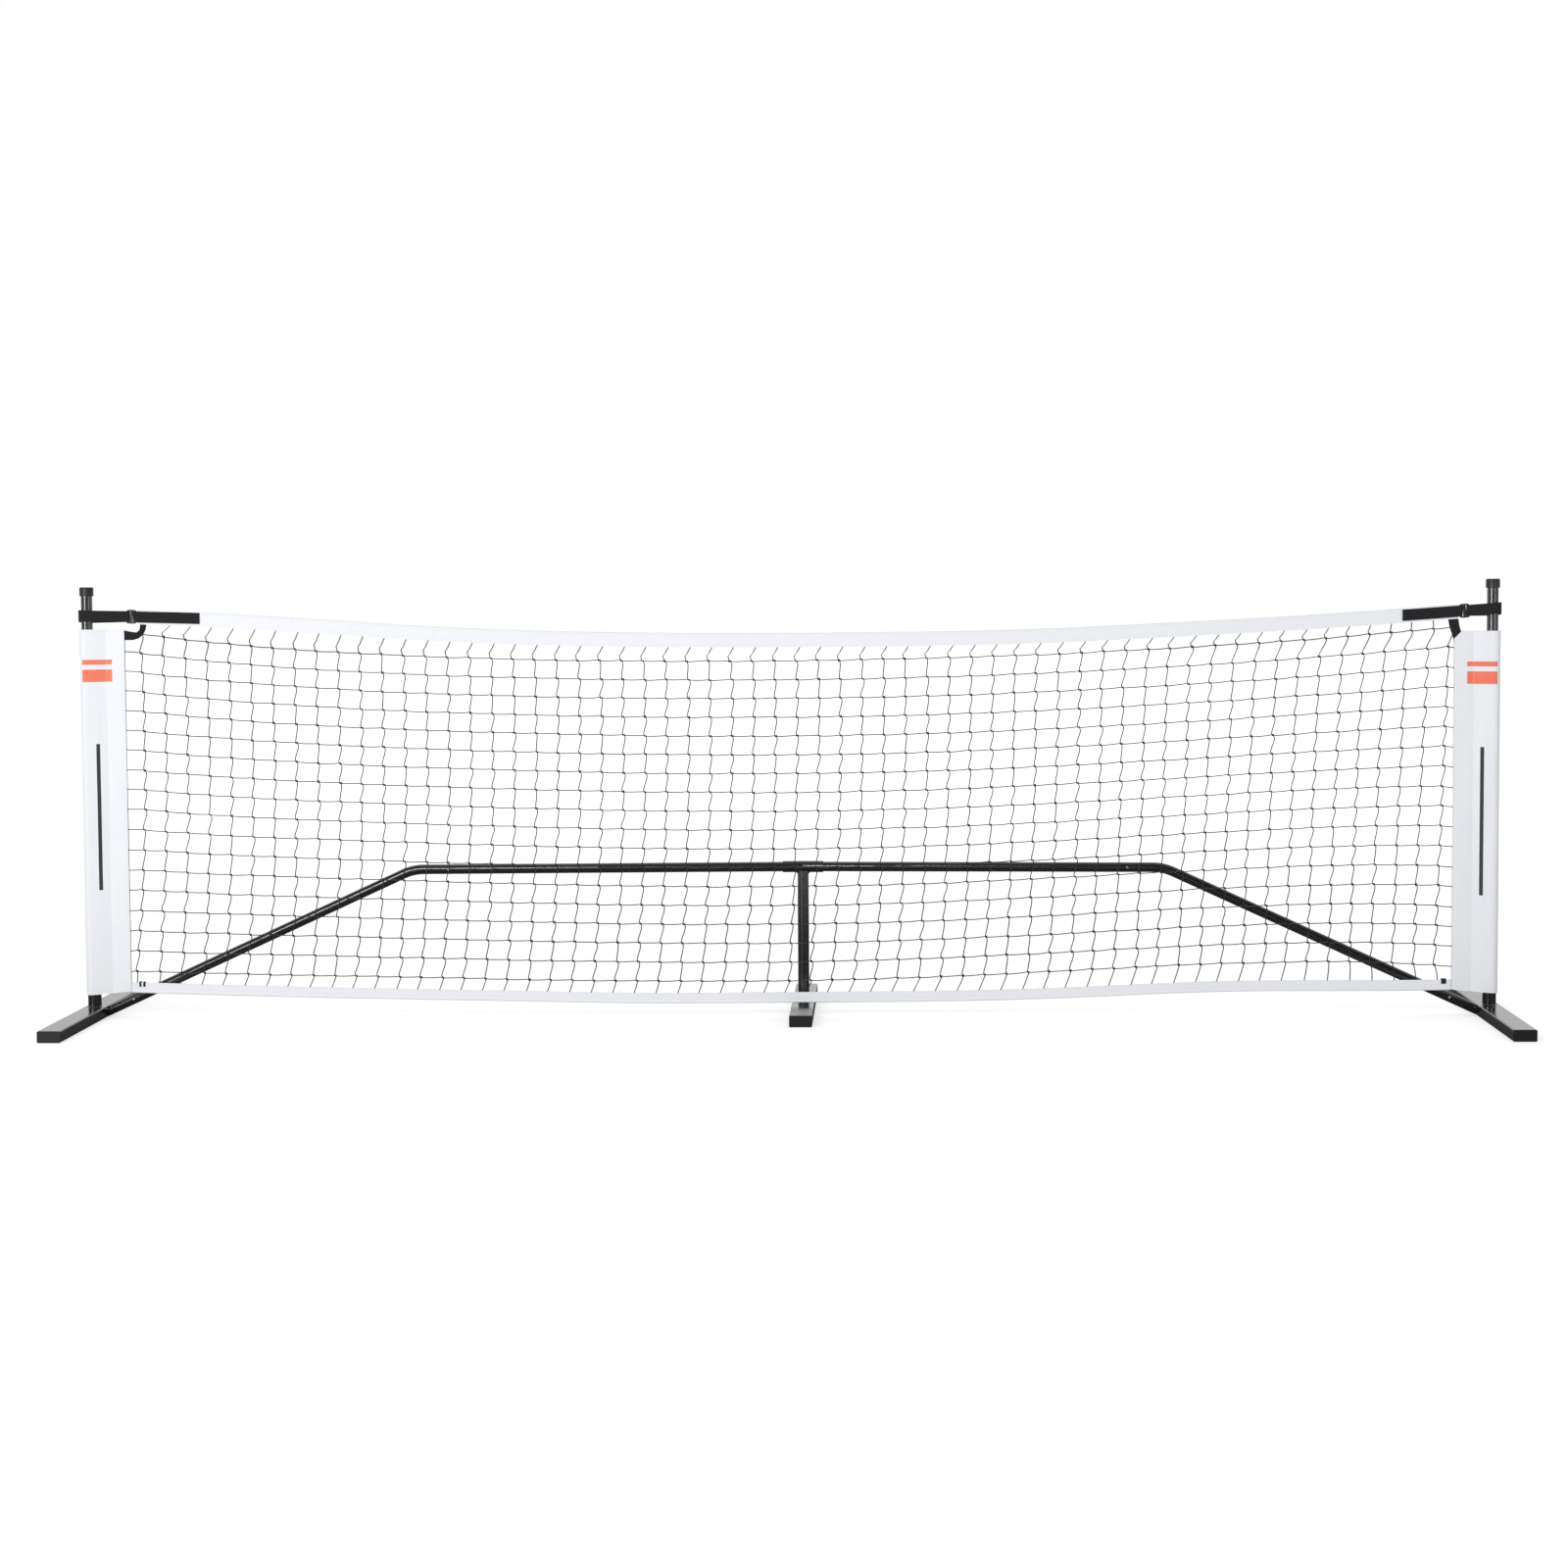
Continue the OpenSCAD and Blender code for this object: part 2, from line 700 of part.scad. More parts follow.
module sleeve_outline() {
    pocket_r = loop_r(post_r + rest_gap, pocket_slack, slot_half, pocket_len);
    slot_x = pocket_len + slot_half + seam_w;
    difference() {
        union() {
            translate([-pocket_slack, 0])
                belt(pocket_r + vinyl_t, tape_out, pocket_len + pocket_slack);
            translate([pocket_len, -tape_out]) square([sleeve_reach - pocket_len, 2 * tape_out]);
        }
        translate([-pocket_slack, 0]) belt(pocket_r, slot_half, pocket_len + pocket_slack);
        translate([slot_x, -slot_half]) square([sleeve_reach, 2 * slot_half]);
    }
}

module sleeve(side) {
    cut = side == RIGHT ? corner_cut : 0;
    color(white_vinyl) on_side(side) translate([-half_span, 0, 0]) difference() {
        translate([0, 0, hem_z]) linear_extrude(sleeve_top - hem_z) sleeve_outline();
        if (cut > 0) translate([sleeve_reach, 0, sleeve_top]) rotate([0, 45, 0])
            cube([sqrt(2) * cut, 4 * tape_out, sqrt(2) * cut], center = true);
    }
}

// The webbing that edges the mesh runs up inside the sleeve, turns inboard at
// its top corner and laps over the end of the tape
module side_webbing(side) {
    inner = side_web_inset;
    outer = side_web_inset + web_w;
    near = tape_inset(side);
    far = near + corner_web_w;
    lap_top = tape_bottom_at(half_span - near) + corner_web_lap;
    corner_z = sleeve_top - corner_web_h;
    color(black_web) on_side(side)
        translate([-half_span, upright_y - twine_r + side_web_t, 0]) rotate([90, 0, 0])
        linear_extrude(side_web_t) polygon([
            [inner, hem_z], [outer, hem_z], [outer, corner_z], [near, corner_z],
            [far, sleeve_top], [far, lap_top], [near, lap_top],
            [near - corner_web_lap, sleeve_top], [inner, sleeve_top],
        ]);
}

// ---------------------------------------------------------------- straps

// Round the post and back to the buckle's outer bar
module strap_loop(side) {
    bar_gap = buckle_inset(side) - buckle_bar_x;    // post axis to the buckle's outer bar
    r = loop_r(post_r + strap_gap, strap_slack, strap_wrap_r, bar_gap);
    color(black_web) at_buckle(side)
        translate([-buckle_inset(side) - strap_slack, 0, -web_w / 2])
        linear_extrude(web_w) difference() {
            belt(r + web_t, strap_wrap_r + web_t, bar_gap + strap_slack);
            belt(r, strap_wrap_r, bar_gap + strap_slack);
        }
}

module folded_end(grow, length) {
    fork = tape_out + rest_gap + grow;
    polygon(concat(arc_points(strap_wrap_r + grow, buckle_bar_x, 90, 270, 16), [
        [buckle_gap, -fork], [length, -fork], [length, fork], [buckle_gap, fork],
    ]));
}

// Round the buckle's inner bar and sewn to both faces of the tape
module strap_end(side) {
    color(black_web) at_buckle(side) translate([0, 0, -web_w / 2])
        linear_extrude(web_w) difference() {
            folded_end(web_t, strap_end_len);
            folded_end(0, strap_end_len + eps);
        }
}

// A ladder lock: two rails joined by three round bars
module buckle(side) {
    rail_z = web_w / 2 + rest_gap;
    color(black_plastic) at_buckle(side) {
        for (z = [-rail_z - rail_t, rail_z])
            translate([0, 0, z]) linear_extrude(rail_t)
                rounded_rect(buckle_l, buckle_bar_d + 1, buckle_bar_d / 2);
        for (x = [-buckle_bar_x, 0, buckle_bar_x])
            translate([x, 0, -rail_z - rail_t / 2])
                cylinder(d = buckle_bar_d, h = 2 * rail_z + rail_t, $fn = 24);
    }
}

// ---------------------------------------------------------------- nodes

side_foot(LEFT);  // left_foot
side_foot(RIGHT);  // right_foot
centre_foot();
foot_end_plugs();
post_socket(LEFT);  // left_post_socket
post_socket(RIGHT);  // right_post_socket
post(LEFT);  // left_post
post(RIGHT);  // right_post
post_cap(LEFT);  // left_post_cap
post_cap(RIGHT);  // right_post_cap
bar_stub(LEFT);  // left_bar_stub
bar_stub(RIGHT);  // right_bar_stub
bent_bar(LEFT);  // left_bent_bar
bent_bar(RIGHT);  // right_bent_bar
inner_bar(LEFT);  // left_inner_bar
inner_bar(RIGHT);  // right_inner_bar
tee_sleeve();
centre_post();
button_springs();
post_button(LEFT);  // left_post_button
post_button(RIGHT);  // right_post_button
stub_button(LEFT);  // left_stub_button
stub_button(RIGHT);  // right_stub_button
bar_button(LEFT);  // left_bar_button
bar_button(RIGHT);  // right_bar_button
tee_button(LEFT);  // left_tee_button
tee_button(RIGHT);  // right_tee_button
top_tape();
top_cord();
bottom_tape();
bottom_cord();
sleeve(LEFT);  // left_sleeve
sleeve(RIGHT);  // right_sleeve
side_webbing(LEFT);  // left_side_webbing
side_webbing(RIGHT);  // right_side_webbing
net_uprights();
net_rows();
strap_loop(LEFT);  // left_strap_loop
strap_loop(RIGHT);  // right_strap_loop
strap_end(LEFT);  // left_strap_end
strap_end(RIGHT);  // right_strap_end
buckle(LEFT);  // left_buckle
buckle(RIGHT);  // right_buckle
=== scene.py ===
import math
import random

import bpy
import numpy as np
from mathutils import Matrix, Vector


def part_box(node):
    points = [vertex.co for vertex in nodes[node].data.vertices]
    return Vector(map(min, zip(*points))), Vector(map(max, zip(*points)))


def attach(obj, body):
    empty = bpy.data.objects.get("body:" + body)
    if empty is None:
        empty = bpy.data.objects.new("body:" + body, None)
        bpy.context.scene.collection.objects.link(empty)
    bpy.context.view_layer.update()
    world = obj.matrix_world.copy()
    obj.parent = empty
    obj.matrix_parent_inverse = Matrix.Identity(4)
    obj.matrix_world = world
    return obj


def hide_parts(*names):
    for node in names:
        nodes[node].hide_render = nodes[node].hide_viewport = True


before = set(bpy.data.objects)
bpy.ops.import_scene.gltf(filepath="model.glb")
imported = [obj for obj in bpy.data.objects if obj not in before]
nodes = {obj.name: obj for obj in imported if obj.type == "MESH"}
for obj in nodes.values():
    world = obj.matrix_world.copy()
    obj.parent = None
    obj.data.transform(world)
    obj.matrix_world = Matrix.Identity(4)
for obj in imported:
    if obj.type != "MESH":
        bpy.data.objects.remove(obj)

random.seed(11)
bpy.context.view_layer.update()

MM = 0.001
LEFT, RIGHT = -1, 1
SIDE_NAMES = {LEFT: "left", RIGHT: "right"}

# The net, in metres, as the frame has it
POST_X = (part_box("right_post")[0].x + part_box("right_post")[1].x) / 2
TAPE_H = 32 * MM
HEM_TAPE_H = 24 * MM
TAPE_MID, TAPE_SAG = 0.864, 0.061
HEM_MID, HEM_SAG = 0.033, 0.027
TAPE_LEFT, TAPE_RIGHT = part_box("top_tape")[0].x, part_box("top_tape")[1].x
SLEEVE_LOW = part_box("left_sleeve")[0].z
RIGHT_SLEEVE_DROP = 20 * MM
SLEEVE_HIGH = {LEFT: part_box("left_sleeve")[1].z,
               RIGHT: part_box("right_sleeve")[1].z - RIGHT_SLEEVE_DROP}
SLEEVE_REACH = 85 * MM
MESH_W = 48.6 * MM
COLUMNS = 30
ROWS = 18
TWINE_R = 1.2 * MM

# The straps. STRAP_DROP is from the tape's top edge down to a strap's middle. LOOP_DROP is
# how much lower a loop lies at its post. TAPE_INSET is from a post's axis to the tape's end
# with the tape central, and NET_SHIFT is how far the tape lies to the right. BUCKLE_GAP is
# from the tape's end to a buckle's middle, and BUCKLE_BAR from there to the bars.
WEB_W = 25 * MM
STRAP_T = 1.4 * MM
STRAP_DROP = 15.6 * MM
STRAP_END_LEN = {LEFT: 155 * MM, RIGHT: 137 * MM}
STRAP_END_RISE = {LEFT: 2.6 * MM, RIGHT: 0.4 * MM}
LOOP_DROP = {LEFT: 4.4 * MM, RIGHT: 1.4 * MM}
TAPE_INSET = 97.5 * MM
NET_SHIFT = 19.5 * MM
BUCKLE_GAP = 16 * MM
BUCKLE_BAR = 7.5 * MM


def arc_rise(x, sag):
    """Height above mid-span on an arc that rises by sag at the posts."""
    r = (POST_X * POST_X + sag * sag) / (2 * sag)
    return r - np.sqrt(r * r - np.asarray(x, float) ** 2)


def swell_at(x, middle, reach, size):
    """A smooth swell of the given size round a place along the net."""
    return size * np.exp(-((np.asarray(x, float) - middle) / reach) ** 2)


def tape_top(x):
    """The arc of the top tape, which the left strap draws up a little."""
    return (TAPE_MID + arc_rise(x, TAPE_SAG)
            + swell_at(x, -1.2, 0.38, 11 * MM) - swell_at(x, 0.5, 0.25, 2 * MM))


def tape_bottom(x):
    return tape_top(x) - TAPE_H


def hem_bottom(x):
    """The arc of the bottom tape, which the mesh draws up on the right."""
    return (HEM_MID + arc_rise(x, HEM_SAG)
            + swell_at(x, 0.98, 0.36, 12 * MM) - swell_at(x, -0.3, 0.25, 3 * MM))


def hem_top(x):
    return hem_bottom(x) + HEM_TAPE_H


# ------------------------------------------------------------------ materials


class Tree:
    """A node tree that is filled by short calls."""

    def __init__(self, tree):
        self.tree = tree
        self.links = tree.links

    def node(self, kind, **values):
        made = self.tree.nodes.new("ShaderNode" + kind)
        for key, value in values.items():
            if hasattr(made, key):
                setattr(made, key, value)
            else:
                made.inputs[key].default_value = value
        return made

    def link(self, a, b):
        self.links.new(a, b)

    def fill(self, socket, value):
        """Feeds an input with an output, a colour or a number."""
        if hasattr(value, "is_output"):
            self.link(value, socket)
        elif isinstance(value, tuple):
            socket.default_value = (*value[:3], 1)
        else:
            socket.default_value = value

    def math(self, operation, a, b=0.0, clamp=False):
        made = self.tree.nodes.new("ShaderNodeMath")
        made.operation, made.use_clamp = operation, clamp
        self.fill(made.inputs[0], a)
        self.fill(made.inputs[1], b)
        return made.outputs[0]

    def mix(self, factor, a, b, blend="MIX"):
        made = self.tree.nodes.new("ShaderNodeMix")
        made.data_type = "RGBA"
        made.blend_type = blend
        # A mix node's inputs 6 and 7 and its output 2 are the ones for colours
        for index, value in ((0, factor), (6, a), (7, b)):
            self.fill(made.inputs[index], value)
        return made.outputs[2]

    def noise(self, vector, scale, detail=2.0, roughness=0.5):
        made = self.node("TexNoise", Detail=detail, Roughness=roughness)
        self.link(vector, made.inputs["Vector"])
        self.fill(made.inputs["Scale"], scale)
        return made.outputs["Fac"]

    def ramp(self, value, low, high, to_low=0.0, to_high=1.0):
        made = self.tree.nodes.new("ShaderNodeMapRange")
        self.link(value, made.inputs[0])
        for index, number in enumerate((low, high, to_low, to_high), 1):
            made.inputs[index].default_value = number
        return made.outputs[0]


def effect(name, inputs, outputs, build):
    """A shader node group with named inputs and outputs, built once."""
    group = bpy.data.node_groups.new(name, "ShaderNodeTree")
    for kind, label, value in inputs:
        socket = group.interface.new_socket(label, in_out="INPUT", socket_type="NodeSocket" + kind)
        if value is not None:
            socket.default_value = value
    for kind, label in outputs:
        group.interface.new_socket(label, in_out="OUTPUT", socket_type="NodeSocket" + kind)
    tree = Tree(group)
    start = group.nodes.new("NodeGroupInput").outputs
    end = group.nodes.new("NodeGroupOutput").inputs
    build(tree, start, end)
    return group


def build_grain(t, start, end):
    t.link(t.noise(start["Place"], start["Scale"], 3.0, 0.6), end["Height"])


def build_wear(t, start, end):
    """Dust on what faces up, and soft handling marks everywhere."""
    normal = t.node("NewGeometry").outputs["Normal"]
    split = t.node("SeparateXYZ")
    t.link(normal, split.inputs[0])
    up = t.ramp(split.outputs["Z"], 0.3, 1.0)
    patches = t.ramp(t.noise(start["Place"], 14.0, 4.0, 0.65), 0.42, 0.72)
    specks = t.ramp(t.noise(start["Place"], 420.0, 2.0, 0.7), 0.60, 0.72)
    dust = t.math("MULTIPLY", up, t.math("ADD", t.math("MULTIPLY", patches, 0.5), specks, clamp=True))
    dust = t.math("MULTIPLY", dust, start["Dust"], clamp=True)
    t.link(t.mix(dust, start["Color"], (0.32, 0.30, 0.27)), end["Color"])
    marks = t.ramp(t.noise(start["Place"], 60.0, 5.0, 0.7), 0.35, 0.7)
    rough = t.math("ADD", start["Roughness"], t.math("MULTIPLY", marks, start["Marks"]))
    t.link(t.math("ADD", rough, t.math("MULTIPLY", dust, 0.4), clamp=True), end["Roughness"])


def build_weave(t, start, end):
    """Ribbed webbing: ribs along the strap, crossed by picks that shift at every rib. Its second output
    is painted shade and highlight: darker in the hollows, lighter on the crowns.
    """
    split = t.node("SeparateXYZ")
    t.link(start["Place"], split.inputs[0])
    across = t.math("DIVIDE", split.outputs["X"], start["Rib"])
    along = t.math("DIVIDE", split.outputs["Y"], start["Pick"])
    rib = t.math("ABSOLUTE", t.math("SINE", t.math("MULTIPLY", across, math.pi)))
    shift = t.math("MULTIPLY", t.math("FLOOR", across), 0.5)
    shifted = t.math("MULTIPLY", t.math("ADD", along, shift), math.pi)
    pick = t.math("ABSOLUTE", t.math("SINE", shifted))
    height = t.math("ADD", t.math("MULTIPLY", rib, 0.6), t.math("MULTIPLY", pick, 0.4))
    t.link(height, end["Height"])
    # Painted shade and highlight: a colour factor from the weave's height, dark in its hollows and
    # above 1 on its crowns
    t.link(t.ramp(height, 0.1, 0.9, 0.55, 1.15), end["PaintedShade"])


def build_stitch(t, start, end):
    """A straight row of stitches: a mask that is 1 on the thread, and the dip beside it."""
    across = t.math("ABSOLUTE", t.math("SUBTRACT", start["Across"], start["Line"]))
    on_line = t.ramp(across, 0.00035, 0.0006, 1.0, 0.0)
    phase = t.math("FRACT", t.math("DIVIDE", start["Along"], start["Length"]))
    gap = t.ramp(t.math("ABSOLUTE", t.math("SUBTRACT", phase, 0.5)), 0.36, 0.42, 1.0, 0.0)
    t.link(t.math("MULTIPLY", on_line, gap), end["Thread"])
    t.link(t.ramp(across, 0.0, 0.003), end["Pucker"])


GRAIN = effect(
    "fine_grain",
    [("Vector", "Place", None), ("Float", "Scale", 800.0)],
    [("Float", "Height")],
    build_grain,
)
WEAR = effect(
    "dust_and_marks",
    [("Vector", "Place", None), ("Color", "Color", None), ("Float", "Roughness", 0.3),
     ("Float", "Dust", 0.3), ("Float", "Marks", 0.08)],
    [("Color", "Color"), ("Float", "Roughness")],
    build_wear,
)
WEAVE = effect(
    "webbing_weave",
    [("Vector", "Place", None), ("Float", "Rib", 0.0016), ("Float", "Pick", 0.0022)],
    [("Float", "Height"), ("Float", "PaintedShade")],
    build_weave,
)
STITCH = effect(
    "stitch_row",
    [("Float", "Across", None), ("Float", "Along", None), ("Float", "Line", 0.005),
     ("Float", "Length", 0.0045)],
    [("Float", "Thread"), ("Float", "Pucker")],
    build_stitch,
)


class Finish(Tree):
    """One material: its Principled BSDF, and short calls for what feeds it."""

    def __init__(self, name, **sockets):
        self.material = bpy.data.materials.new(name)
        self.material.use_nodes = True
        super().__init__(self.material.node_tree)
        self.shader = self.tree.nodes["Principled BSDF"]
        for label, value in sockets.items():
            self.shader.inputs[label.replace("_", " ")].default_value = value
        place = self.node("TexCoord")
        self.object_place = place.outputs["Object"]
        self.uv = place.outputs["UV"]

    def use(self, group, **values):
        made = self.tree.nodes.new("ShaderNodeGroup")
        made.node_tree = group
        for label, value in values.items():
            self.fill(made.inputs[label], value)
        return made.outputs

    def feed(self, label, output):
        self.link(output, self.shader.inputs[label])

    def within(self, value, low, high):
        return self.math("MULTIPLY", self.math("GREATER_THAN", value, low),
                         self.math("LESS_THAN", value, high))

    def bump(self, height, distance, under=None):
        made = self.node("Bump", Strength=1.0, Distance=distance)
        self.link(height, made.inputs["Height"])
        if under is not None:
            self.link(under, made.inputs["Normal"])
        return made.outputs["Normal"]


def hard_finish(name, color, roughness, dust, marks, grain_scale, grain_depth, **sockets):
    made = Finish(name, **sockets)
    worn = made.use(WEAR, Place=made.object_place, Color=color, Roughness=roughness,
                    Dust=dust, Marks=marks)
    made.feed("Base Color", worn["Color"])
    made.feed("Roughness", worn["Roughness"])
    grain = made.use(GRAIN, Place=made.object_place, Scale=grain_scale)
    made.feed("Normal", made.bump(grain["Height"], grain_depth))
    return made.material


def vinyl_finish(name, color, stitch_lines, stripes=(), pucker_depth=0.0003):
    """Coated cloth with rows of stitches. The UV map is in metres."""
    made = Finish(name, Specular_IOR_Level=0.35)
    split = made.node("SeparateXYZ")
    made.link(made.uv, split.inputs[0])
    across, along = split.outputs["X"], split.outputs["Y"]
    cloud = made.ramp(made.noise(made.object_place, 9.0, 3.0, 0.55), 0.3, 0.7)
    shade = made.mix(cloud, color, tuple(c * k for c, k in zip(color, (0.975, 0.98, 0.99))))
    for low, high, left, right, ink in stripes:
        inside = made.math("MULTIPLY", made.within(along, low, high),
                           made.within(across, left, right))
        shade = made.mix(inside, shade, ink)
    rows = [made.use(STITCH, Across=across if axis == "x" else along,
                     Along=along if axis == "x" else across, Line=line)
            for axis, line in stitch_lines]
    thread, pucker = rows[0]["Thread"], rows[0]["Pucker"]
    for row in rows[1:]:
        thread = made.math("MAXIMUM", thread, row["Thread"])
        pucker = made.math("MINIMUM", pucker, row["Pucker"])
    made.feed("Base Color", made.mix(made.math("MULTIPLY", thread, 0.35), shade, THREAD))
    sheen = made.noise(made.object_place, 30.0, 3.0)
    made.feed("Roughness", made.ramp(sheen, 0.3, 0.7, 0.46, 0.58))
    weave = made.use(WEAVE, Place=made.uv, Rib=0.0009, Pick=0.0009)
    normal = made.bump(weave["Height"], 0.000012)
    normal = made.bump(pucker, pucker_depth, under=normal)
    made.feed("Normal", made.bump(thread, pucker_depth / 2, under=normal))
    return made.material


def web_finish(name, color):
    """Ribbed webbing. The UV map is in metres, with its second value along the strap. Its colour
    carries painted shade in the weave's hollows and painted highlight on its ribs.
    """
    made = Finish(name, Specular_IOR_Level=0.2)
    weave = made.use(WEAVE, Place=made.uv, Rib=0.0016, Pick=0.0021)
    fuzz = made.noise(made.object_place, 700.0, 2.0, 0.7)
    # Painted shade and highlight: the colour is multiplied by the weave's shade factor, darker in its
    # hollows, lighter on its ribs
    shade = made.mix(1.0, color, weave["PaintedShade"], "MULTIPLY")
    faded = made.ramp(fuzz, 0.5, 0.8, 0.0, 0.25)
    made.feed("Base Color", made.mix(faded, shade, (0.05, 0.05, 0.052)))
    made.feed("Roughness", made.ramp(fuzz, 0.3, 0.7, 0.72, 0.9))
    made.feed("Normal", made.bump(weave["Height"], 0.0003))
    return made.material


def twine_finish(name, color):
    """Twisted twine: helical strands from the UV map, u round it and v along it. The colour has painted
    shade in the grooves between the strands.
    """
    made = Finish(name, Specular_IOR_Level=0.2)
    split = made.node("SeparateXYZ")
    made.link(made.uv, split.inputs[0])
    turns = made.math("ADD", made.math("MULTIPLY", split.outputs["X"], 3.0),
                      made.math("MULTIPLY", split.outputs["Y"], 260.0))
    strand = made.math("ABSOLUTE", made.math("SINE", made.math("MULTIPLY", turns, math.pi)))
    fuzz = made.noise(made.object_place, 900.0, 2.0, 0.7)
    # Painted shade: the colour falls to 0.7 of itself in the grooves between the strands
    shade = made.mix(made.ramp(strand, 0.0, 1.0), tuple(c * 0.7 for c in color), color)
    faded = made.ramp(fuzz, 0.45, 0.8, 0.0, 0.3)
    made.feed("Base Color", made.mix(faded, shade, (0.10, 0.10, 0.10)))
    made.feed("Roughness", made.ramp(fuzz, 0.3, 0.7, 0.62, 0.85))
    made.feed("Normal", made.bump(strand, 0.0002))
    return made.material


WHITE = (0.865, 0.882, 0.915)
CORAL = (0.93, 0.20, 0.12)
CHARCOAL = (0.035, 0.036, 0.042)
THREAD = (0.80, 0.81, 0.83)

powder_coat = hard_finish(
    "black_powder_coat", (0.0075, 0.0075, 0.008), roughness=0.18, dust=0.02, marks=0.03,
    grain_scale=700.0, grain_depth=0.0000025, IOR=1.8)
moulded = hard_finish(
    "moulded_black_plastic", (0.0085, 0.0085, 0.009), roughness=0.42, dust=0.03, marks=0.06,
    grain_scale=1500.0, grain_depth=0.00003)
zinc = hard_finish(
    "zinc_plated_steel", (0.55, 0.55, 0.54), roughness=0.28, dust=0.0, marks=0.12,
    grain_scale=900.0, grain_depth=0.00002, Metallic=1.0)
TAPE_PUCKER = 0.00008
tape_vinyl = vinyl_finish("white_tape_vinyl", WHITE, [("x", 0.0045), ("x", 0.0220)],
                          pucker_depth=TAPE_PUCKER)
hem_vinyl = vinyl_finish("white_hem_vinyl", WHITE, [("x", 0.0045), ("x", 0.0160)],
                         pucker_depth=TAPE_PUCKER)
webbing = web_finish("black_webbing", (0.018, 0.018, 0.0205))
# Painted light and shade: the same twine in three tones, lighter on the level rows and darker at the
# knots; the edge cords and lashings also use the dark one
upright_twine = twine_finish("upright_twine", (0.035, 0.034, 0.033))
row_twine = twine_finish("row_twine", (0.060, 0.058, 0.055))
knot_twine = twine_finish("knot_twine", (0.022, 0.021, 0.021))


def coat(names, material):
    for name in names:
        piece = nodes[name]
        piece.data.materials.clear()
        piece.data.materials.append(material)


def both(*names):
    return [f"{side}_{name}" for name in names for side in ("left", "right")]


coat(["centre_foot", "tee_sleeve", "centre_post"]
     + both("foot", "post_socket", "post", "bar_stub", "bent_bar", "inner_bar"), powder_coat)
coat(["foot_end_plugs"] + both("post_cap"), moulded)
coat(["button_springs"] + both("post_button", "stub_button", "bar_button", "tee_button"), zinc)

# ------------------------------------------------------------------ modelling


CLOTH_SMOOTH = math.radians(50)


def deselect():
    if bpy.context.object and bpy.context.object.mode != "OBJECT":
        bpy.ops.object.mode_set(mode="OBJECT")
    bpy.ops.object.select_all(action="DESELECT")


def keep(name, body, material, replaced=()):
    """Names the active piece, gives it its finish and its body."""
    piece = bpy.context.active_object
    piece.name = piece.data.name = name
    piece.data.materials.clear()
    piece.data.materials.append(material)
    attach(piece, body)
    if replaced:
        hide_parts(*replaced)


def apply_all(piece):
    bpy.context.view_layer.objects.active = piece
    for modifier in list(piece.modifiers):
        bpy.ops.object.modifier_apply(modifier=modifier.name)


def cloth(place, across, along, flat, thickness, closed=False):
    """A sheet laid over place(u, v), given a thickness. Its UV map is in metres."""
    deselect()
    bpy.ops.mesh.primitive_grid_add(x_subdivisions=across, y_subdivisions=along, size=2)
    piece = bpy.context.active_object
    mesh = piece.data
    co = np.empty(len(mesh.vertices) * 3)
    mesh.vertices.foreach_get("co", co)
    u, v = (co.reshape(-1, 3)[:, 0] + 1) / 2, (co.reshape(-1, 3)[:, 1] + 1) / 2
    mesh.vertices.foreach_set("co", np.asarray(place(u, v), float).ravel())
    loops = np.empty(len(mesh.loops), int)
    mesh.loops.foreach_get("vertex_index", loops)
    mesh.uv_layers.active.data.foreach_set(
        "uv", np.stack([u[loops] * flat[0], v[loops] * flat[1]], 1).ravel())
    mesh.update()
    bpy.ops.object.mode_set(mode="EDIT")
    bpy.ops.mesh.select_all(action="SELECT")
    if closed:
        bpy.ops.mesh.remove_doubles(threshold=1e-5)
    bpy.ops.mesh.normals_make_consistent(inside=False)
    bpy.ops.object.mode_set(mode="OBJECT")
    wall = piece.modifiers.new("thickness", "SOLIDIFY")
    wall.thickness, wall.offset = thickness, 0
    apply_all(piece)
    bpy.ops.object.shade_smooth_by_angle(angle=CLOTH_SMOOTH)
    return piece


def resample(points, count):
    """Evenly spaced points along a broken line, as columns of coordinates."""
    points = np.array(points, float)
    run = np.r_[0, np.cumsum(np.linalg.norm(np.diff(points, axis=0), axis=1))]
    at = np.linspace(0, run[-1], count)
    return np.stack([np.interp(at, run, points[:, k]) for k in range(points.shape[1])], 1), run[-1]


def follow(line, u):
    """Points on an evenly spaced line at shares u of its length."""
    at = u * (len(line) - 1)
    return [np.interp(at, np.arange(len(line)), line[:, k]) for k in range(line.shape[1])]


def ripple(x, z, seed, size, low, high, count):
    """A soft seeded unevenness over a surface."""
    rng = random.Random(seed)
    total = np.zeros_like(np.asarray(x, float))
    for _ in range(count):
        fx, fz = rng.uniform(low, high), rng.uniform(low, high)
        total = total + np.sin(fx * x + fz * z + rng.uniform(0, 6.28)) / count
    return total * size


# ------------------------------------------------------------------ tapes


def fold_section(depth, room, gap):
    """A folded tape in section: distance below its closed edge, and Y."""
    bulge = 3.0 * MM
    points = [(depth, -gap), (depth * 0.62, -gap - 0.1 * MM), (room, -gap - 0.1 * MM)]
    for step in range(9):
        angle = math.radians(40 + 280 * step / 8)
        points.append((bulge + 0.4 * MM + bulge * math.cos(angle), -bulge * math.sin(angle)))
    points += [(room, gap + 0.1 * MM), (depth * 0.62, gap + 0.1 * MM), (depth, gap)]
    return resample(points, 64)


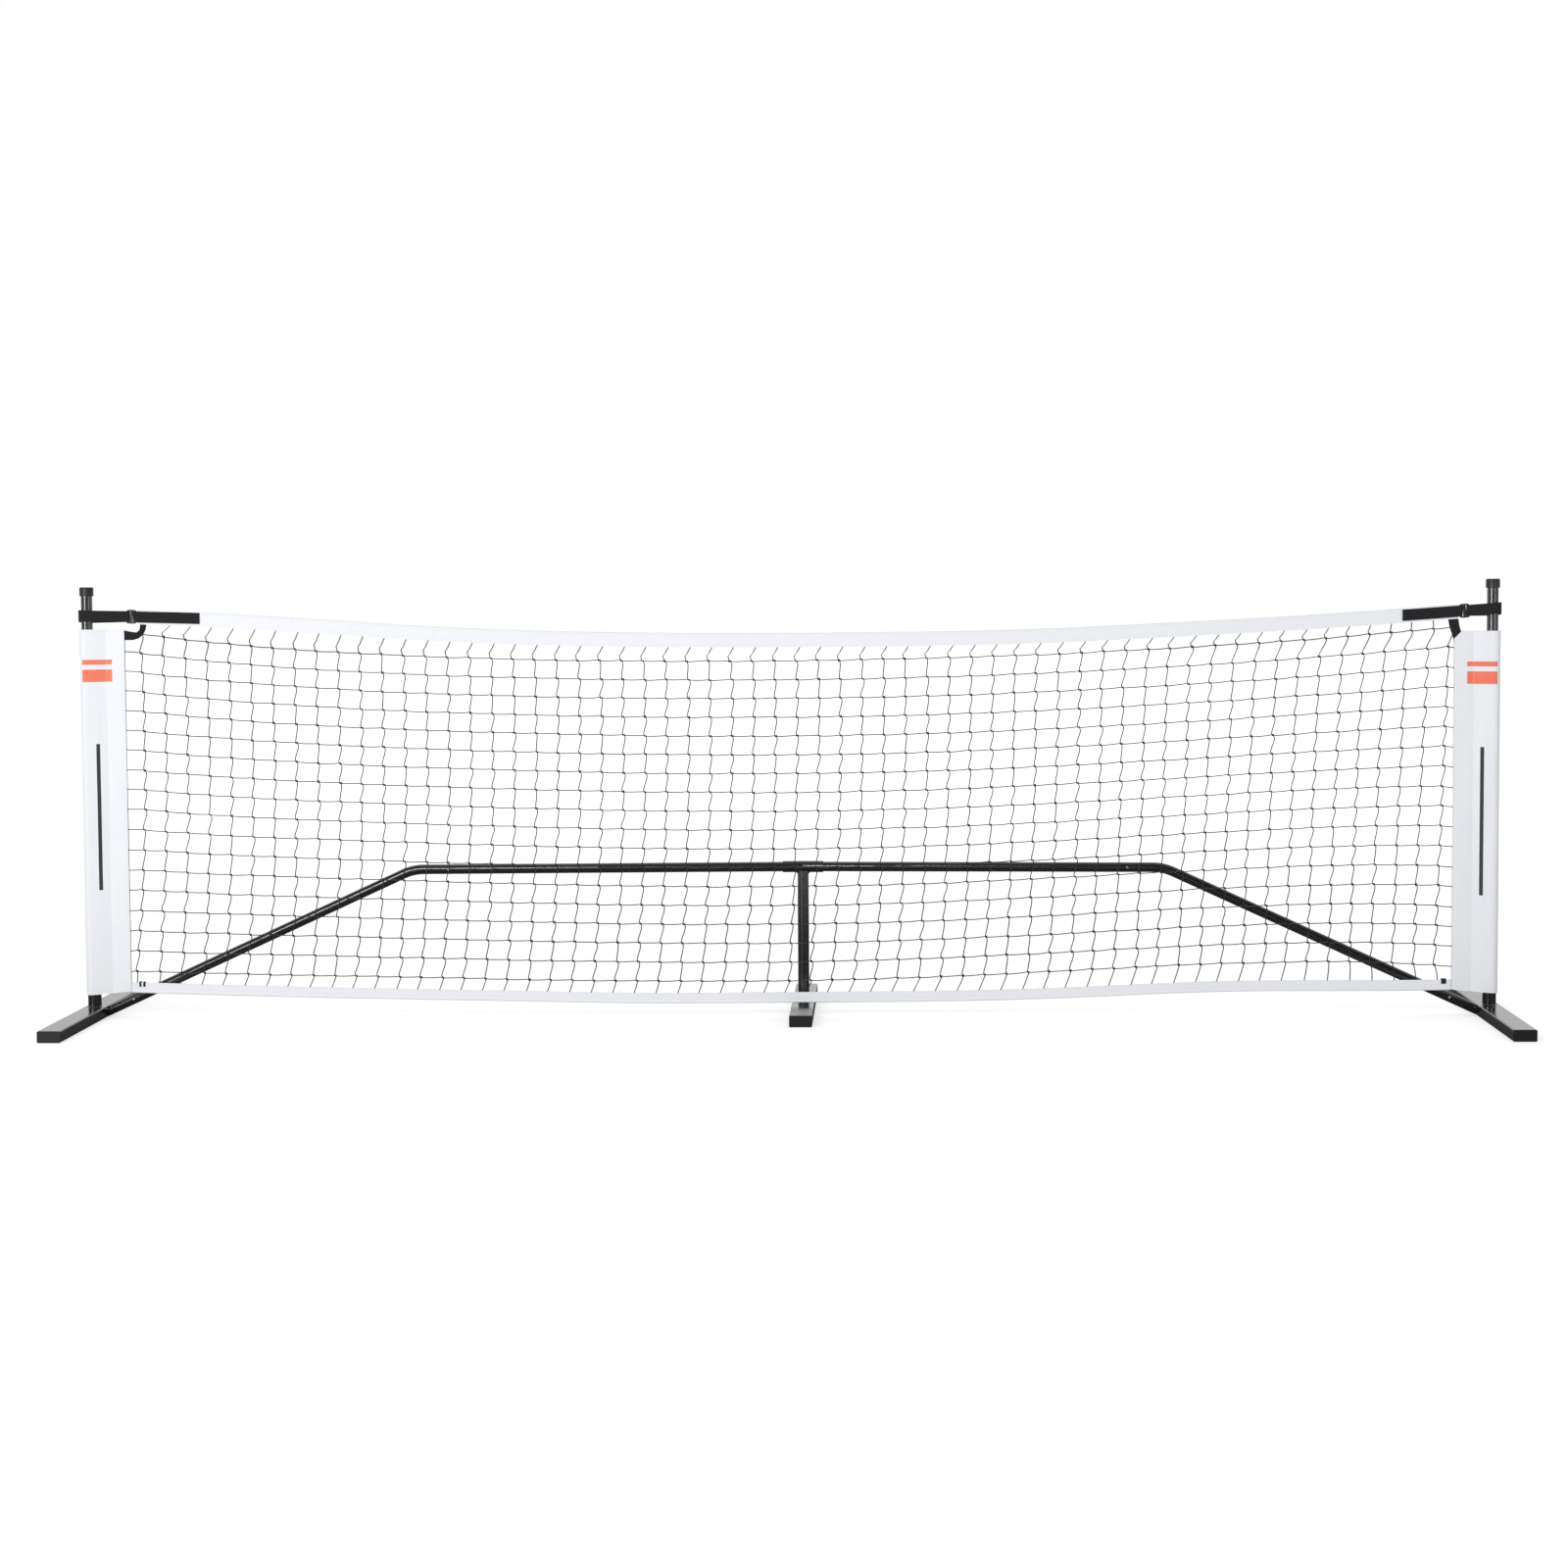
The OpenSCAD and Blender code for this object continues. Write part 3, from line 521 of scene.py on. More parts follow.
def folded_tape(name, edge, depth, start, end, down, replaced, seed, material):
    """A tape folded over its cord. down is the way from its closed edge to its open one:
    -1 below it, 1 above it."""
    section, width = fold_section(depth, 10 * MM, 1.9 * MM)
    length = end - start

    def place(u, v):
        below, y = follow(section, u)
        x = start + v * length
        free = np.clip(below / depth, 0, 1) ** 2
        y = y + ripple(x, 0 * x, seed, 0.35 * MM, 5, 40, 8) * free
        z = edge(x) + down * below + ripple(x, 0 * x, seed + 1, 0.35 * MM, 8, 30, 6) * free
        return np.stack([x, y, z], 1)

    piece = cloth(place, 30, 420, (width, length), 0.8 * MM)
    keep(name, "net", material, replaced)


hem_half = POST_X - SLEEVE_REACH - 0.3 * MM
folded_tape("top_tape_cover", tape_top, TAPE_H, TAPE_LEFT, TAPE_RIGHT, -1,
            ["top_tape"], 3, tape_vinyl)
folded_tape("bottom_tape_cover", hem_bottom, HEM_TAPE_H, -hem_half, hem_half, 1,
            ["bottom_tape"], 5, hem_vinyl)

# ------------------------------------------------------------------ sleeves


def sleeve_section():
    """Half a sleeve in plan: distances inboard of the post's axis and from the net's plane."""
    pocket, slack = 13.7 * MM, 3.6 * MM
    points = []
    for step in range(13):
        angle = math.radians(180 - 95 * step / 12)
        points.append((-slack + pocket * math.cos(angle), pocket * math.sin(angle)))
    points += [(20 * MM, 8.6 * MM), (30 * MM, 5.6 * MM), (38 * MM, 3.6 * MM), (44 * MM, 2.9 * MM),
               (52 * MM, 3.0 * MM), (70 * MM, 3.1 * MM), (SLEEVE_REACH - 0.4 * MM, 3.0 * MM)]
    return points


def sleeve(side, stripes):
    half = sleeve_section()
    around = [(x, -y) for x, y in reversed(half)] + half[1:]
    section, width = resample(around, 160)
    high = SLEEVE_HIGH[side]
    tall = high - SLEEVE_LOW
    seed = 21 + side

    def place(u, v):
        inboard, y = follow(section, u)
        share = np.clip((inboard + 18 * MM) / (103 * MM), 0, 1)
        low = SLEEVE_LOW + 0.5 * MM + 7.5 * MM * share ** 1.5
        z = low + v * (high - low)
        if side == RIGHT:
            z = z - np.clip(inboard - (SLEEVE_REACH - 17 * MM), 0, 1) * v ** 12
        loose = np.clip(1 - np.abs(v - 0.5) * 1.1, 0.25, 1)
        swell = 0.7 * MM + ripple(inboard * 2.5, z, seed, 1.1 * MM, 6, 30, 8) * loose
        swell = swell + ripple(inboard * 6, z * 2.2, seed + 7, 0.4 * MM, 8, 40, 8)
        seam = 1 - np.exp(-((inboard - 42.5 * MM) / (6 * MM)) ** 2)
        y = y + np.sign(y) * np.clip(swell, 0, 1.6 * MM) * seam
        return np.stack([side * (POST_X - inboard), y, z], 1)

    ink = [(tall - lower, tall - upper, width * left, width * right, color)
           for lower, upper, left, right, color in stripes]
    material = vinyl_finish(f"{SIDE_NAMES[side]}_sleeve_vinyl", WHITE,
                            [("x", 0.004), ("x", 0.0425), ("y", 0.006), ("y", tall - 0.006)], ink)
    piece = cloth(place, 110, 150, (width, tall), 0.9 * MM)
    name = SIDE_NAMES[side]
    keep(f"{name}_sleeve_cover", "net", material, [f"{name}_sleeve"])


# Lower and upper edge in metres below the top hem, left and right edge as shares of the cut
# cloth's width, and colour
STRIPES = [(0.118, 0.090, 0.13, 0.43, CORAL), (0.079, 0.068, 0.13, 0.43, CORAL),
           (0.590, 0.258, 0.266, 0.304, CHARCOAL)]
for side in (LEFT, RIGHT):
    sleeve(side, STRIPES)

# ------------------------------------------------------------------ straps


def belt_line(r1, r2, length):
    """A closed line round two circles: the post's at 0 and the bar's at length."""
    lean = math.asin((r1 - r2) / length)
    points = []
    for step in range(33):
        angle = math.pi / 2 - lean + (math.pi + 2 * lean) * step / 32
        points.append((r1 * math.cos(angle), r1 * math.sin(angle)))
    for step in range(17):
        angle = -math.pi / 2 + lean + (math.pi - 2 * lean) * step / 16
        points.append((length + r2 * math.cos(angle), r2 * math.sin(angle)))
    points.append(points[0])
    return points


def at_strap(side, inboard, y, drop):
    """A point on a strap, from its distance inboard of the post's axis, its Y, and its
    distance below the tape's top edge."""
    x = side * (POST_X - inboard)
    return np.stack([x, y, tape_top(x) - drop], 1)


def buckle_place(side):
    """Distances inboard of the post's axis: a buckle's middle, and the tape's end."""
    inset = TAPE_INSET - side * NET_SHIFT
    return inset - BUCKLE_GAP, inset


def strap_loop(side):
    name = SIDE_NAMES[side]
    buckle_x, _ = buckle_place(side)
    bar_x = buckle_x - BUCKLE_BAR
    slack, post_r, bar_r = 3.8 * MM, 13.2 * MM, 2.3 * MM
    reach = bar_x + slack
    seat = (post_r * reach - slack * bar_r) / bar_x
    half_web = 0.8 * MM
    line, length = resample(belt_line(seat + half_web, bar_r + half_web, reach), 200)
    front_tilt, back_tilt = 1.4 * MM, -2.0 * MM

    def place(u, v):
        inboard, y = follow(line, u)
        inboard = inboard - slack
        near_post = np.clip(1 - inboard / bar_x, 0, 1)
        flat_side = np.clip(np.abs(y) / (8 * MM), 0, 1)
        tilt = np.where(y < 0, front_tilt, back_tilt) * near_post * flat_side
        tilt = tilt - LOOP_DROP[side] * near_post
        drop = STRAP_DROP + (0.5 - v) * WEB_W - tilt
        return at_strap(side, inboard, y, drop)

    cloth(place, 120, 12, (length, WEB_W), STRAP_T, closed=True)
    swap_uv(bpy.context.active_object)
    keep(f"{name}_strap_loop_web", "net", webbing, [f"{name}_strap_loop"])


def swap_uv(piece):
    """Turns the UV map so that its second value runs along the strap."""
    data = piece.data.uv_layers.active.data
    uv = np.empty(len(data) * 2)
    data.foreach_get("uv", uv)
    data.foreach_set("uv", uv.reshape(-1, 2)[:, ::-1].ravel())


def strap_end(side):
    name = SIDE_NAMES[side]
    buckle_x, tape_x = buckle_place(side)
    bar = buckle_x + BUCKLE_BAR
    far = buckle_x + STRAP_END_LEN[side]
    wrap, lie = 3.1 * MM, 3.9 * MM
    points = [(far, lie), (tape_x + 6 * MM, lie), (bar + 1.5 * MM, wrap)]
    for step in range(9):
        angle = math.radians(90 + 180 * step / 8)
        points.append((bar + wrap * math.cos(angle), wrap * math.sin(angle)))
    points += [(bar + 1.5 * MM, -wrap), (tape_x + 6 * MM, -lie), (far, -lie)]
    line, length = resample(points, 200)

    def place(u, v):
        inboard, y = follow(line, u)
        x = side * (POST_X - inboard)
        wave = ripple(x, 0 * x, 31 + side, 0.25 * MM, 20, 60, 6)
        rise = STRAP_END_RISE[side] * np.clip((inboard - bar) / (far - bar), 0, 1)
        drop = STRAP_DROP - rise + (0.5 - v) * WEB_W
        return at_strap(side, inboard, y + np.sign(y) * wave, drop)

    cloth(place, 140, 12, (length, WEB_W), STRAP_T)
    swap_uv(bpy.context.active_object)
    keep(f"{name}_strap_end_web", "net", webbing, [f"{name}_strap_end"])


def buckle(side):
    """A ladder lock, cut from a plate with two windows."""
    name = SIDE_NAMES[side]
    columns = [-10.5, -5.4, -3.5, 3.5, 5.4, 10.5]
    rises = [-15.6, -12.9, 12.9, 15.6]
    cells_across, cells_up = len(columns) - 1, len(rises) - 1
    end_taper, plate_t, rounding = 0.93, 4.2 * MM, 1.1 * MM
    deselect()
    bpy.ops.mesh.primitive_grid_add(x_subdivisions=cells_across, y_subdivisions=cells_up, size=2)
    piece = bpy.context.active_object
    centre, _ = buckle_place(side)
    middle = POST_X - centre
    height = float(tape_top(side * middle)) - STRAP_DROP
    step = 0.01
    rise = float(tape_top(side * (middle + step)) - tape_top(side * (middle - step)))
    slope = math.atan2(rise, 2 * step)
    for vertex in piece.data.vertices:
        a = columns[round((vertex.co.x + 1) / 2 * cells_across)] * MM
        b = rises[round((vertex.co.y + 1) / 2 * cells_up)] * MM
        if abs(a) > 9 * MM:
            b *= end_taper
        turn = a * math.cos(slope) - b * math.sin(slope), a * math.sin(slope) + b * math.cos(slope)
        vertex.co = (side * (middle + turn[0]), 0, height + turn[1])
    bpy.ops.object.mode_set(mode="EDIT")
    bpy.ops.mesh.select_mode(type="FACE")
    bpy.ops.mesh.select_all(action="DESELECT")
    bpy.ops.object.mode_set(mode="OBJECT")
    windows = {(1, 1), (3, 1)}
    for index, face in enumerate(piece.data.polygons):
        face.select = (index % cells_across, index // cells_across) in windows
    bpy.ops.object.mode_set(mode="EDIT")
    bpy.ops.mesh.delete(type="FACE")
    bpy.ops.mesh.select_all(action="SELECT")
    bpy.ops.mesh.normals_make_consistent(inside=False)
    bpy.ops.mesh.select_mode(type="VERT")
    bpy.ops.object.mode_set(mode="OBJECT")
    wall = piece.modifiers.new("thickness", "SOLIDIFY")
    wall.thickness, wall.offset = plate_t, 0
    edge = piece.modifiers.new("edge", "BEVEL")
    edge.width, edge.segments = rounding, 3
    apply_all(piece)
    bpy.ops.object.shade_smooth_by_angle(angle=math.radians(40))
    keep(f"{name}_ladder_lock", "net", moulded, [f"{name}_buckle"])


for side in (LEFT, RIGHT):
    strap_loop(side)
    strap_end(side)
    buckle(side)

# ------------------------------------------------------------------ side webbing


SIDE_WEB_LEN, SIDE_WEB_T = 0.95, 1.0 * MM


def side_web(side):
    """The webbing inside the sleeve, and its corner that laps over the tape."""
    name = SIDE_NAMES[side]
    low, high = SLEEVE_LOW + 9 * MM, SLEEVE_HIGH[side]
    _, tape_x = buckle_place(side)
    tape_edge = float(tape_bottom(side * (POST_X - tape_x)))
    lap = tape_edge + 5 * MM
    # Distance inboard of the post's axis in millimetres, height, half width in millimetres
    # and direction in degrees
    if side == LEFT:
        centre = [(64.5, low, 12.5, 90), (64.5, high - 42 * MM, 12.5, 90),
                  (66, high - 24 * MM, 12.5, 70), (74, high - 14 * MM, 12.0, 25),
                  (88, high - 13.5 * MM, 10.5, 0), (104, high - 15 * MM, 9.0, 2),
                  (115, high - 13.5 * MM, 7.0, 22), (123, high - 7 * MM, 6.2, 55),
                  (127, high + 1 * MM, 6.8, 80), (128, lap, 7.5, 90)]
    else:
        centre = [(64.5, low, 12.5, 90), (64.5, high - 60 * MM, 12.5, 90),
                  (66, high - 40 * MM, 12.5, 88), (73, high - 22 * MM, 11, 82),
                  (79, high - 6 * MM, 10.5, 80), (84, high + 10 * MM, 11, 84), (88, lap, 11.5, 88)]
    line, _ = resample([(a * MM, b, c * MM, math.radians(d)) for a, b, c, d in centre], 160)

    def place(u, v):
        inboard, z, half, turn = follow(line, v)
        off = (u - 0.5) * 2 * half
        outside = np.clip((inboard - SLEEVE_REACH) / (8 * MM), 0, 1)
        under_tape = np.clip((z - tape_edge + 7 * MM) / (5 * MM), 0, 1)
        y = (-1.4 - 1.2 * outside * (1 - under_tape) + 0.9 * under_tape) * MM
        y = y - (0.2 + 1.2 * outside * (1 - under_tape)) * MM * np.sin(u * math.pi)
        x = side * (POST_X - inboard - off * np.sin(turn))
        return np.stack([x, y, z - off * np.cos(turn)], 1)

    cloth(place, 10, 200, (WEB_W, SIDE_WEB_LEN), SIDE_WEB_T)
    keep(f"{name}_side_web", "net", webbing, [f"{name}_side_webbing"])


for side in (LEFT, RIGHT):
    side_web(side)

# ------------------------------------------------------------------ netting


def row_height(x, k):
    """The height of row k of an even mesh that hangs between the two tapes."""
    share = (k + 0.5) / ROWS
    low, high = HEM_MID + HEM_TAPE_H, TAPE_MID - TAPE_H
    middle = low + share * (high - low)
    end = low + HEM_SAG + share * (high + TAPE_SAG - low - HEM_SAG)
    return middle + arc_rise(x, end - middle)


# How far the hung mesh strays from an even grid, in millimetres: a polynomial in the
# place across (-1 to 1 over twice STRAY_HALF_SPAN) and the height (-1 to 1). The pairs of
# lists after it are places along the net in metres, and shifts there in millimetres.
STRAY_HALF_SPAN = 1.5
PULL_RIGHT = np.array([[23.8, -1.2, -12.4, -3.2, -20.1, -0.2, 16.4],
                       [11.3, -4.6, -5.5, 26.8, 10.8, -21.4, -3.5],
                       [-7.6, 7.9, -3.3, -1.1, 38.7, 2.1, -39.3]]).T
LIFT = np.array([[-0.6, 8.3, 46.2, 16.0, -52.1, -26.8, 18.5],
                 [-6.7, -5.5, -31.4, -5.5, 48.3, 9.1, -8.8],
                 [-1.9, 6.6, -13.8, -9.8, 16.5, 6.5, -5.7]]).T
TOP_ROW_PULL = ([-1.5, -1.0, -0.2, 0.2, 0.6, 0.9, 1.2, 1.5], [5, 1, -4, -2, 4, 7, 11, 11])
TOP_LASH = ([-1.5, -1.43, -1.3, -1.1, 0.9, 1.2, 1.35, 1.5], [4, 17, 11, 8, 9, 6, 1, -2])
FOOT_LASH = ([-1.5, -1.3, -1.1, -0.3, 0.3, 1.1, 1.3, 1.5], [1, -8, -9, -6, -13, -10, 4, 8])


def stray(table, x, k):
    across, up = x / STRAY_HALF_SPAN, (k + 0.5) / ROWS * 2 - 1
    return float(np.polynomial.polynomial.polyval2d(across, up, table)) * MM


def bend_by(table, x):
    return float(np.interp(x, *table)) * MM


knots = {}
for i in range(-COLUMNS, COLUMNS + 1):
    for k in range(ROWS):
        x = i * MESH_W
        z = float(row_height(x, k)) + stray(LIFT, x, k) + random.uniform(-0.8, 0.8) * MM
        right = stray(PULL_RIGHT, x, k) + random.uniform(-1.2, 1.2) * MM
        if k == ROWS - 1:
            right += bend_by(TOP_ROW_PULL, x)
        knots[i, k] = (x + right, z)


def tubes(paths, radius, axes, sides=6):
    """One mesh of round strands. Each ring lies across the two axes given."""
    first, second = (np.array(a, float) for a in axes)
    angles = np.arange(sides) * 2 * math.pi / sides
    ring = np.cos(angles)[:, None] * first + np.sin(angles)[:, None] * second
    verts, faces, uvs, base = [], [], [], 0
    for path in paths:
        path = np.array(path, float)
        run = np.r_[0, np.cumsum(np.linalg.norm(np.diff(path, axis=0), axis=1))]
        count = len(path)
        verts.append((path[:, None, :] + ring[None] * radius).reshape(-1, 3))
        for j in range(count - 1):
            for s in range(sides):
                t = (s + 1) % sides
                faces.append((base + j * sides + s, base + j * sides + t,
                              base + (j + 1) * sides + t, base + (j + 1) * sides + s))
                uvs += [(s / sides, run[j]), ((s + 1) / sides, run[j]),
                        ((s + 1) / sides, run[j + 1]), (s / sides, run[j + 1])]
        for end, order in ((0, range(sides - 1, -1, -1)), (count - 1, range(sides))):
            faces.append(tuple(base + end * sides + s for s in order))
            uvs += [(s / sides, run[end]) for s in order]
        base += count * sides
    return np.concatenate(verts), faces, uvs


def netting_piece(name, verts, faces, uvs, material, replaced):
    mesh = bpy.data.meshes.new(name)
    mesh.from_pydata([tuple(v) for v in verts], [], faces)
    layer = mesh.uv_layers.new(name="UVMap")
    layer.data.foreach_set("uv", np.array(uvs, float).ravel())
    mesh.polygons.foreach_set("use_smooth", [True] * len(mesh.polygons))
    piece = bpy.data.objects.new(name, mesh)
    bpy.context.scene.collection.objects.link(piece)
    deselect()
    piece.select_set(True)
    bpy.context.view_layer.objects.active = piece
    bpy.ops.object.mode_set(mode="EDIT")
    bpy.ops.mesh.select_all(action="SELECT")
    bpy.ops.mesh.normals_make_consistent(inside=False)
    bpy.ops.object.mode_set(mode="OBJECT")
    keep(name, "net", material, replaced)


CORD_R = 2.2 * MM
ACROSS_UPRIGHT = ((1, 0, 0), (0, 1, 0))
ACROSS_LEVEL = ((0, 0, 1), (0, 1, 0))


def edge_cord(name, edge, start, end, depth, replaced):
    """The cord in the closed edge of a tape."""
    places = np.linspace(start + 2 * MM, end - 2 * MM, 160)
    path = [(x, 0, float(edge(x)) + depth) for x in places]
    cord = tubes([path], CORD_R, ACROSS_LEVEL, 10)
    netting_piece(f"{name}_cord", *cord, knot_twine, replaced)


edge_cord("top_tape_cover", tape_top, TAPE_LEFT, TAPE_RIGHT, -3.4 * MM, ["top_cord"])
edge_cord("bottom_tape_cover", hem_bottom, -hem_half, hem_half, 3.4 * MM, ["bottom_cord"])


# Share of the way from one knot up to the next, and how far the twine sways there
UPRIGHT_SWAY = ((0.12, -2.5), (0.3, -1.2), (0.5, 0.8), (0.7, 2.5), (0.86, 3.0))


def upright_path(i):
    x0, z0 = knots[i, 0]
    foot = float(hem_top(x0))
    aside = bend_by(FOOT_LASH, x0)
    path = [(x0 + aside * 1.3, 0.2 * MM, foot - 9 * MM), (x0 + aside, 0, foot + 1 * MM),
            (x0 + aside * 0.55 + 1.5 * MM, 0, foot + (z0 - foot) * 0.5)]
    for k in range(ROWS):
        x, z = knots[i, k]
        if k:
            below_x, below_z = knots[i, k - 1]
            tall = z - below_z
            swing = random.uniform(0.5, 1.4)
            for share, shift in UPRIGHT_SWAY:
                path.append((below_x + (x - below_x) * share + shift * swing * MM,
                             -0.7 * MM * math.sin(share * math.pi), below_z + tall * share))
        path.append((x + 1.4 * MM, 0, z - 1.2 * MM))
        path.append((x - 1.6 * MM, 0, z + 1.3 * MM))
    x, z = knots[i, ROWS - 1]
    top = float(tape_bottom(x))
    aside = bend_by(TOP_LASH, x)
    kink = min(aside, 4 * MM)
    if abs(i) == COLUMNS:
        return path + [(x + (2 if i > 0 else 0) * MM, 0.6 * MM, z + 14 * MM)]
    path += [(x - kink, 0, z + (top - z) * 0.35),
             (x + (aside - kink) * 0.4, 0, z + (top - z) * 0.6),
             (x + aside, 0, top), (x + aside * 1.3, 0.2 * MM, top + 9 * MM)]
    return path


def row_path(k):
    reach = POST_X - 56 * MM
    left, right = knots[-COLUMNS, k], knots[COLUMNS, k]
    share = (k + 0.5) / ROWS
    start = left[1] + (9 * share - 3) * MM
    path = [(-reach, 0.6 * MM, start), (left[0] - 14 * MM, 0.8 * MM, left[1] + (start - left[1]) * 0.5)]
    for i in range(-COLUMNS, COLUMNS + 1):
        x, z = knots[i, k]
        path += [(x - 2.1 * MM, 0.2 * MM, z + 1.0 * MM), (x + 2.1 * MM, 0.2 * MM, z - 1.0 * MM)]
        if i < COLUMNS:
            next_x, next_z = knots[i + 1, k]
            sag = random.uniform(0.2, 1.0) * MM
            for share in (0.35, 0.7):
                path.append((x + (next_x - x) * share, 1.0 * MM,
                             (z - 1.0 * MM) + (next_z + 1.0 * MM - z + 1.0 * MM) * share - sag))
    finish = right[1] - 5 * MM
    if k == ROWS - 1:
        return path + [(POST_X - 84 * MM, 0.2 * MM, right[1] - 2 * MM)]
    path += [(right[0] + 14 * MM, 0.8 * MM, right[1] - 2.5 * MM), (reach, 0.6 * MM, finish)]
    return path


def lashing(x, turns):
    """A few turns of twine round the hem's open edge, at the foot of a sleeve."""
    paths = []
    for number in range(turns):
        at = x + (number - (turns - 1) / 2) * 2.3 * MM
        top = float(hem_top(at))
        lean = random.uniform(-0.8, 0.8) * MM
        paths.append([(at, -2.9 * MM, top - 9 * MM), (at + lean, -3.7 * MM, top - 2 * MM),
                      (at + lean, -2.4 * MM, top + 1.6 * MM), (at, 0, top + 2.6 * MM),
                      (at - lean, 2.4 * MM, top + 1.6 * MM), (at - lean, 3.7 * MM, top - 2 * MM),
                      (at, 2.9 * MM, top - 9 * MM)])
    return paths


lashings = []
for x, turns in ((-1.4644, 2), (-1.4554, 2), (1.4682, 5)):
    lashings += lashing(x, turns)
netting_piece("hem_lashings", *tubes(lashings, TWINE_R, ACROSS_UPRIGHT, 8), knot_twine, [])
uprights = tubes([upright_path(i) for i in range(-COLUMNS, COLUMNS + 1)], TWINE_R, ACROSS_UPRIGHT)
netting_piece("upright_strands", *uprights, upright_twine, ["net_uprights"])
rows = tubes([row_path(k) for k in range(ROWS)], TWINE_R * 0.9, ACROSS_LEVEL)
netting_piece("row_strands", *rows, row_twine, ["net_rows"])


def knot_pattern():
    """One sheet bend: a short fat barrel with a groove between its two turns."""
    deselect()
    bpy.ops.mesh.primitive_uv_sphere_add(segments=8, ring_count=6, radius=1)
    piece = bpy.context.active_object
    for vertex in piece.data.vertices:
        c = vertex.co
        waist = 1 - 0.28 * math.exp(-(c.z / 0.22) ** 2)
        vertex.co = (c.x * 2.0 * waist * MM, c.y * 1.8 * waist * MM, c.z * 3.3 * MM)
    piece.data.transform(Matrix.Rotation(math.radians(58), 4, "Y"))
    verts = np.array([v.co for v in piece.data.vertices])
    faces = [tuple(p.vertices) for p in piece.data.polygons]
    bpy.data.objects.remove(piece)
    return verts, faces


pattern, pattern_faces = knot_pattern()
verts, faces, uvs = [], [], []
for number, (_, (x, z)) in enumerate(sorted(knots.items())):
    turn = Matrix.Rotation(random.uniform(-0.35, 0.35), 3, "Y")
    size = random.uniform(0.85, 1.15)
    verts.append((pattern * size) @ np.array(turn).T + np.array([x, 0, z]))
    base = number * len(pattern)
    faces += [tuple(base + v for v in face) for face in pattern_faces]
    for face in pattern_faces:
        uvs += [(pattern[v][0] * 150, pattern[v][2] * 2) for v in face]
netting_piece("net_knots", np.concatenate(verts), faces, uvs, knot_twine, [])

# ------------------------------------------------------------------ stage


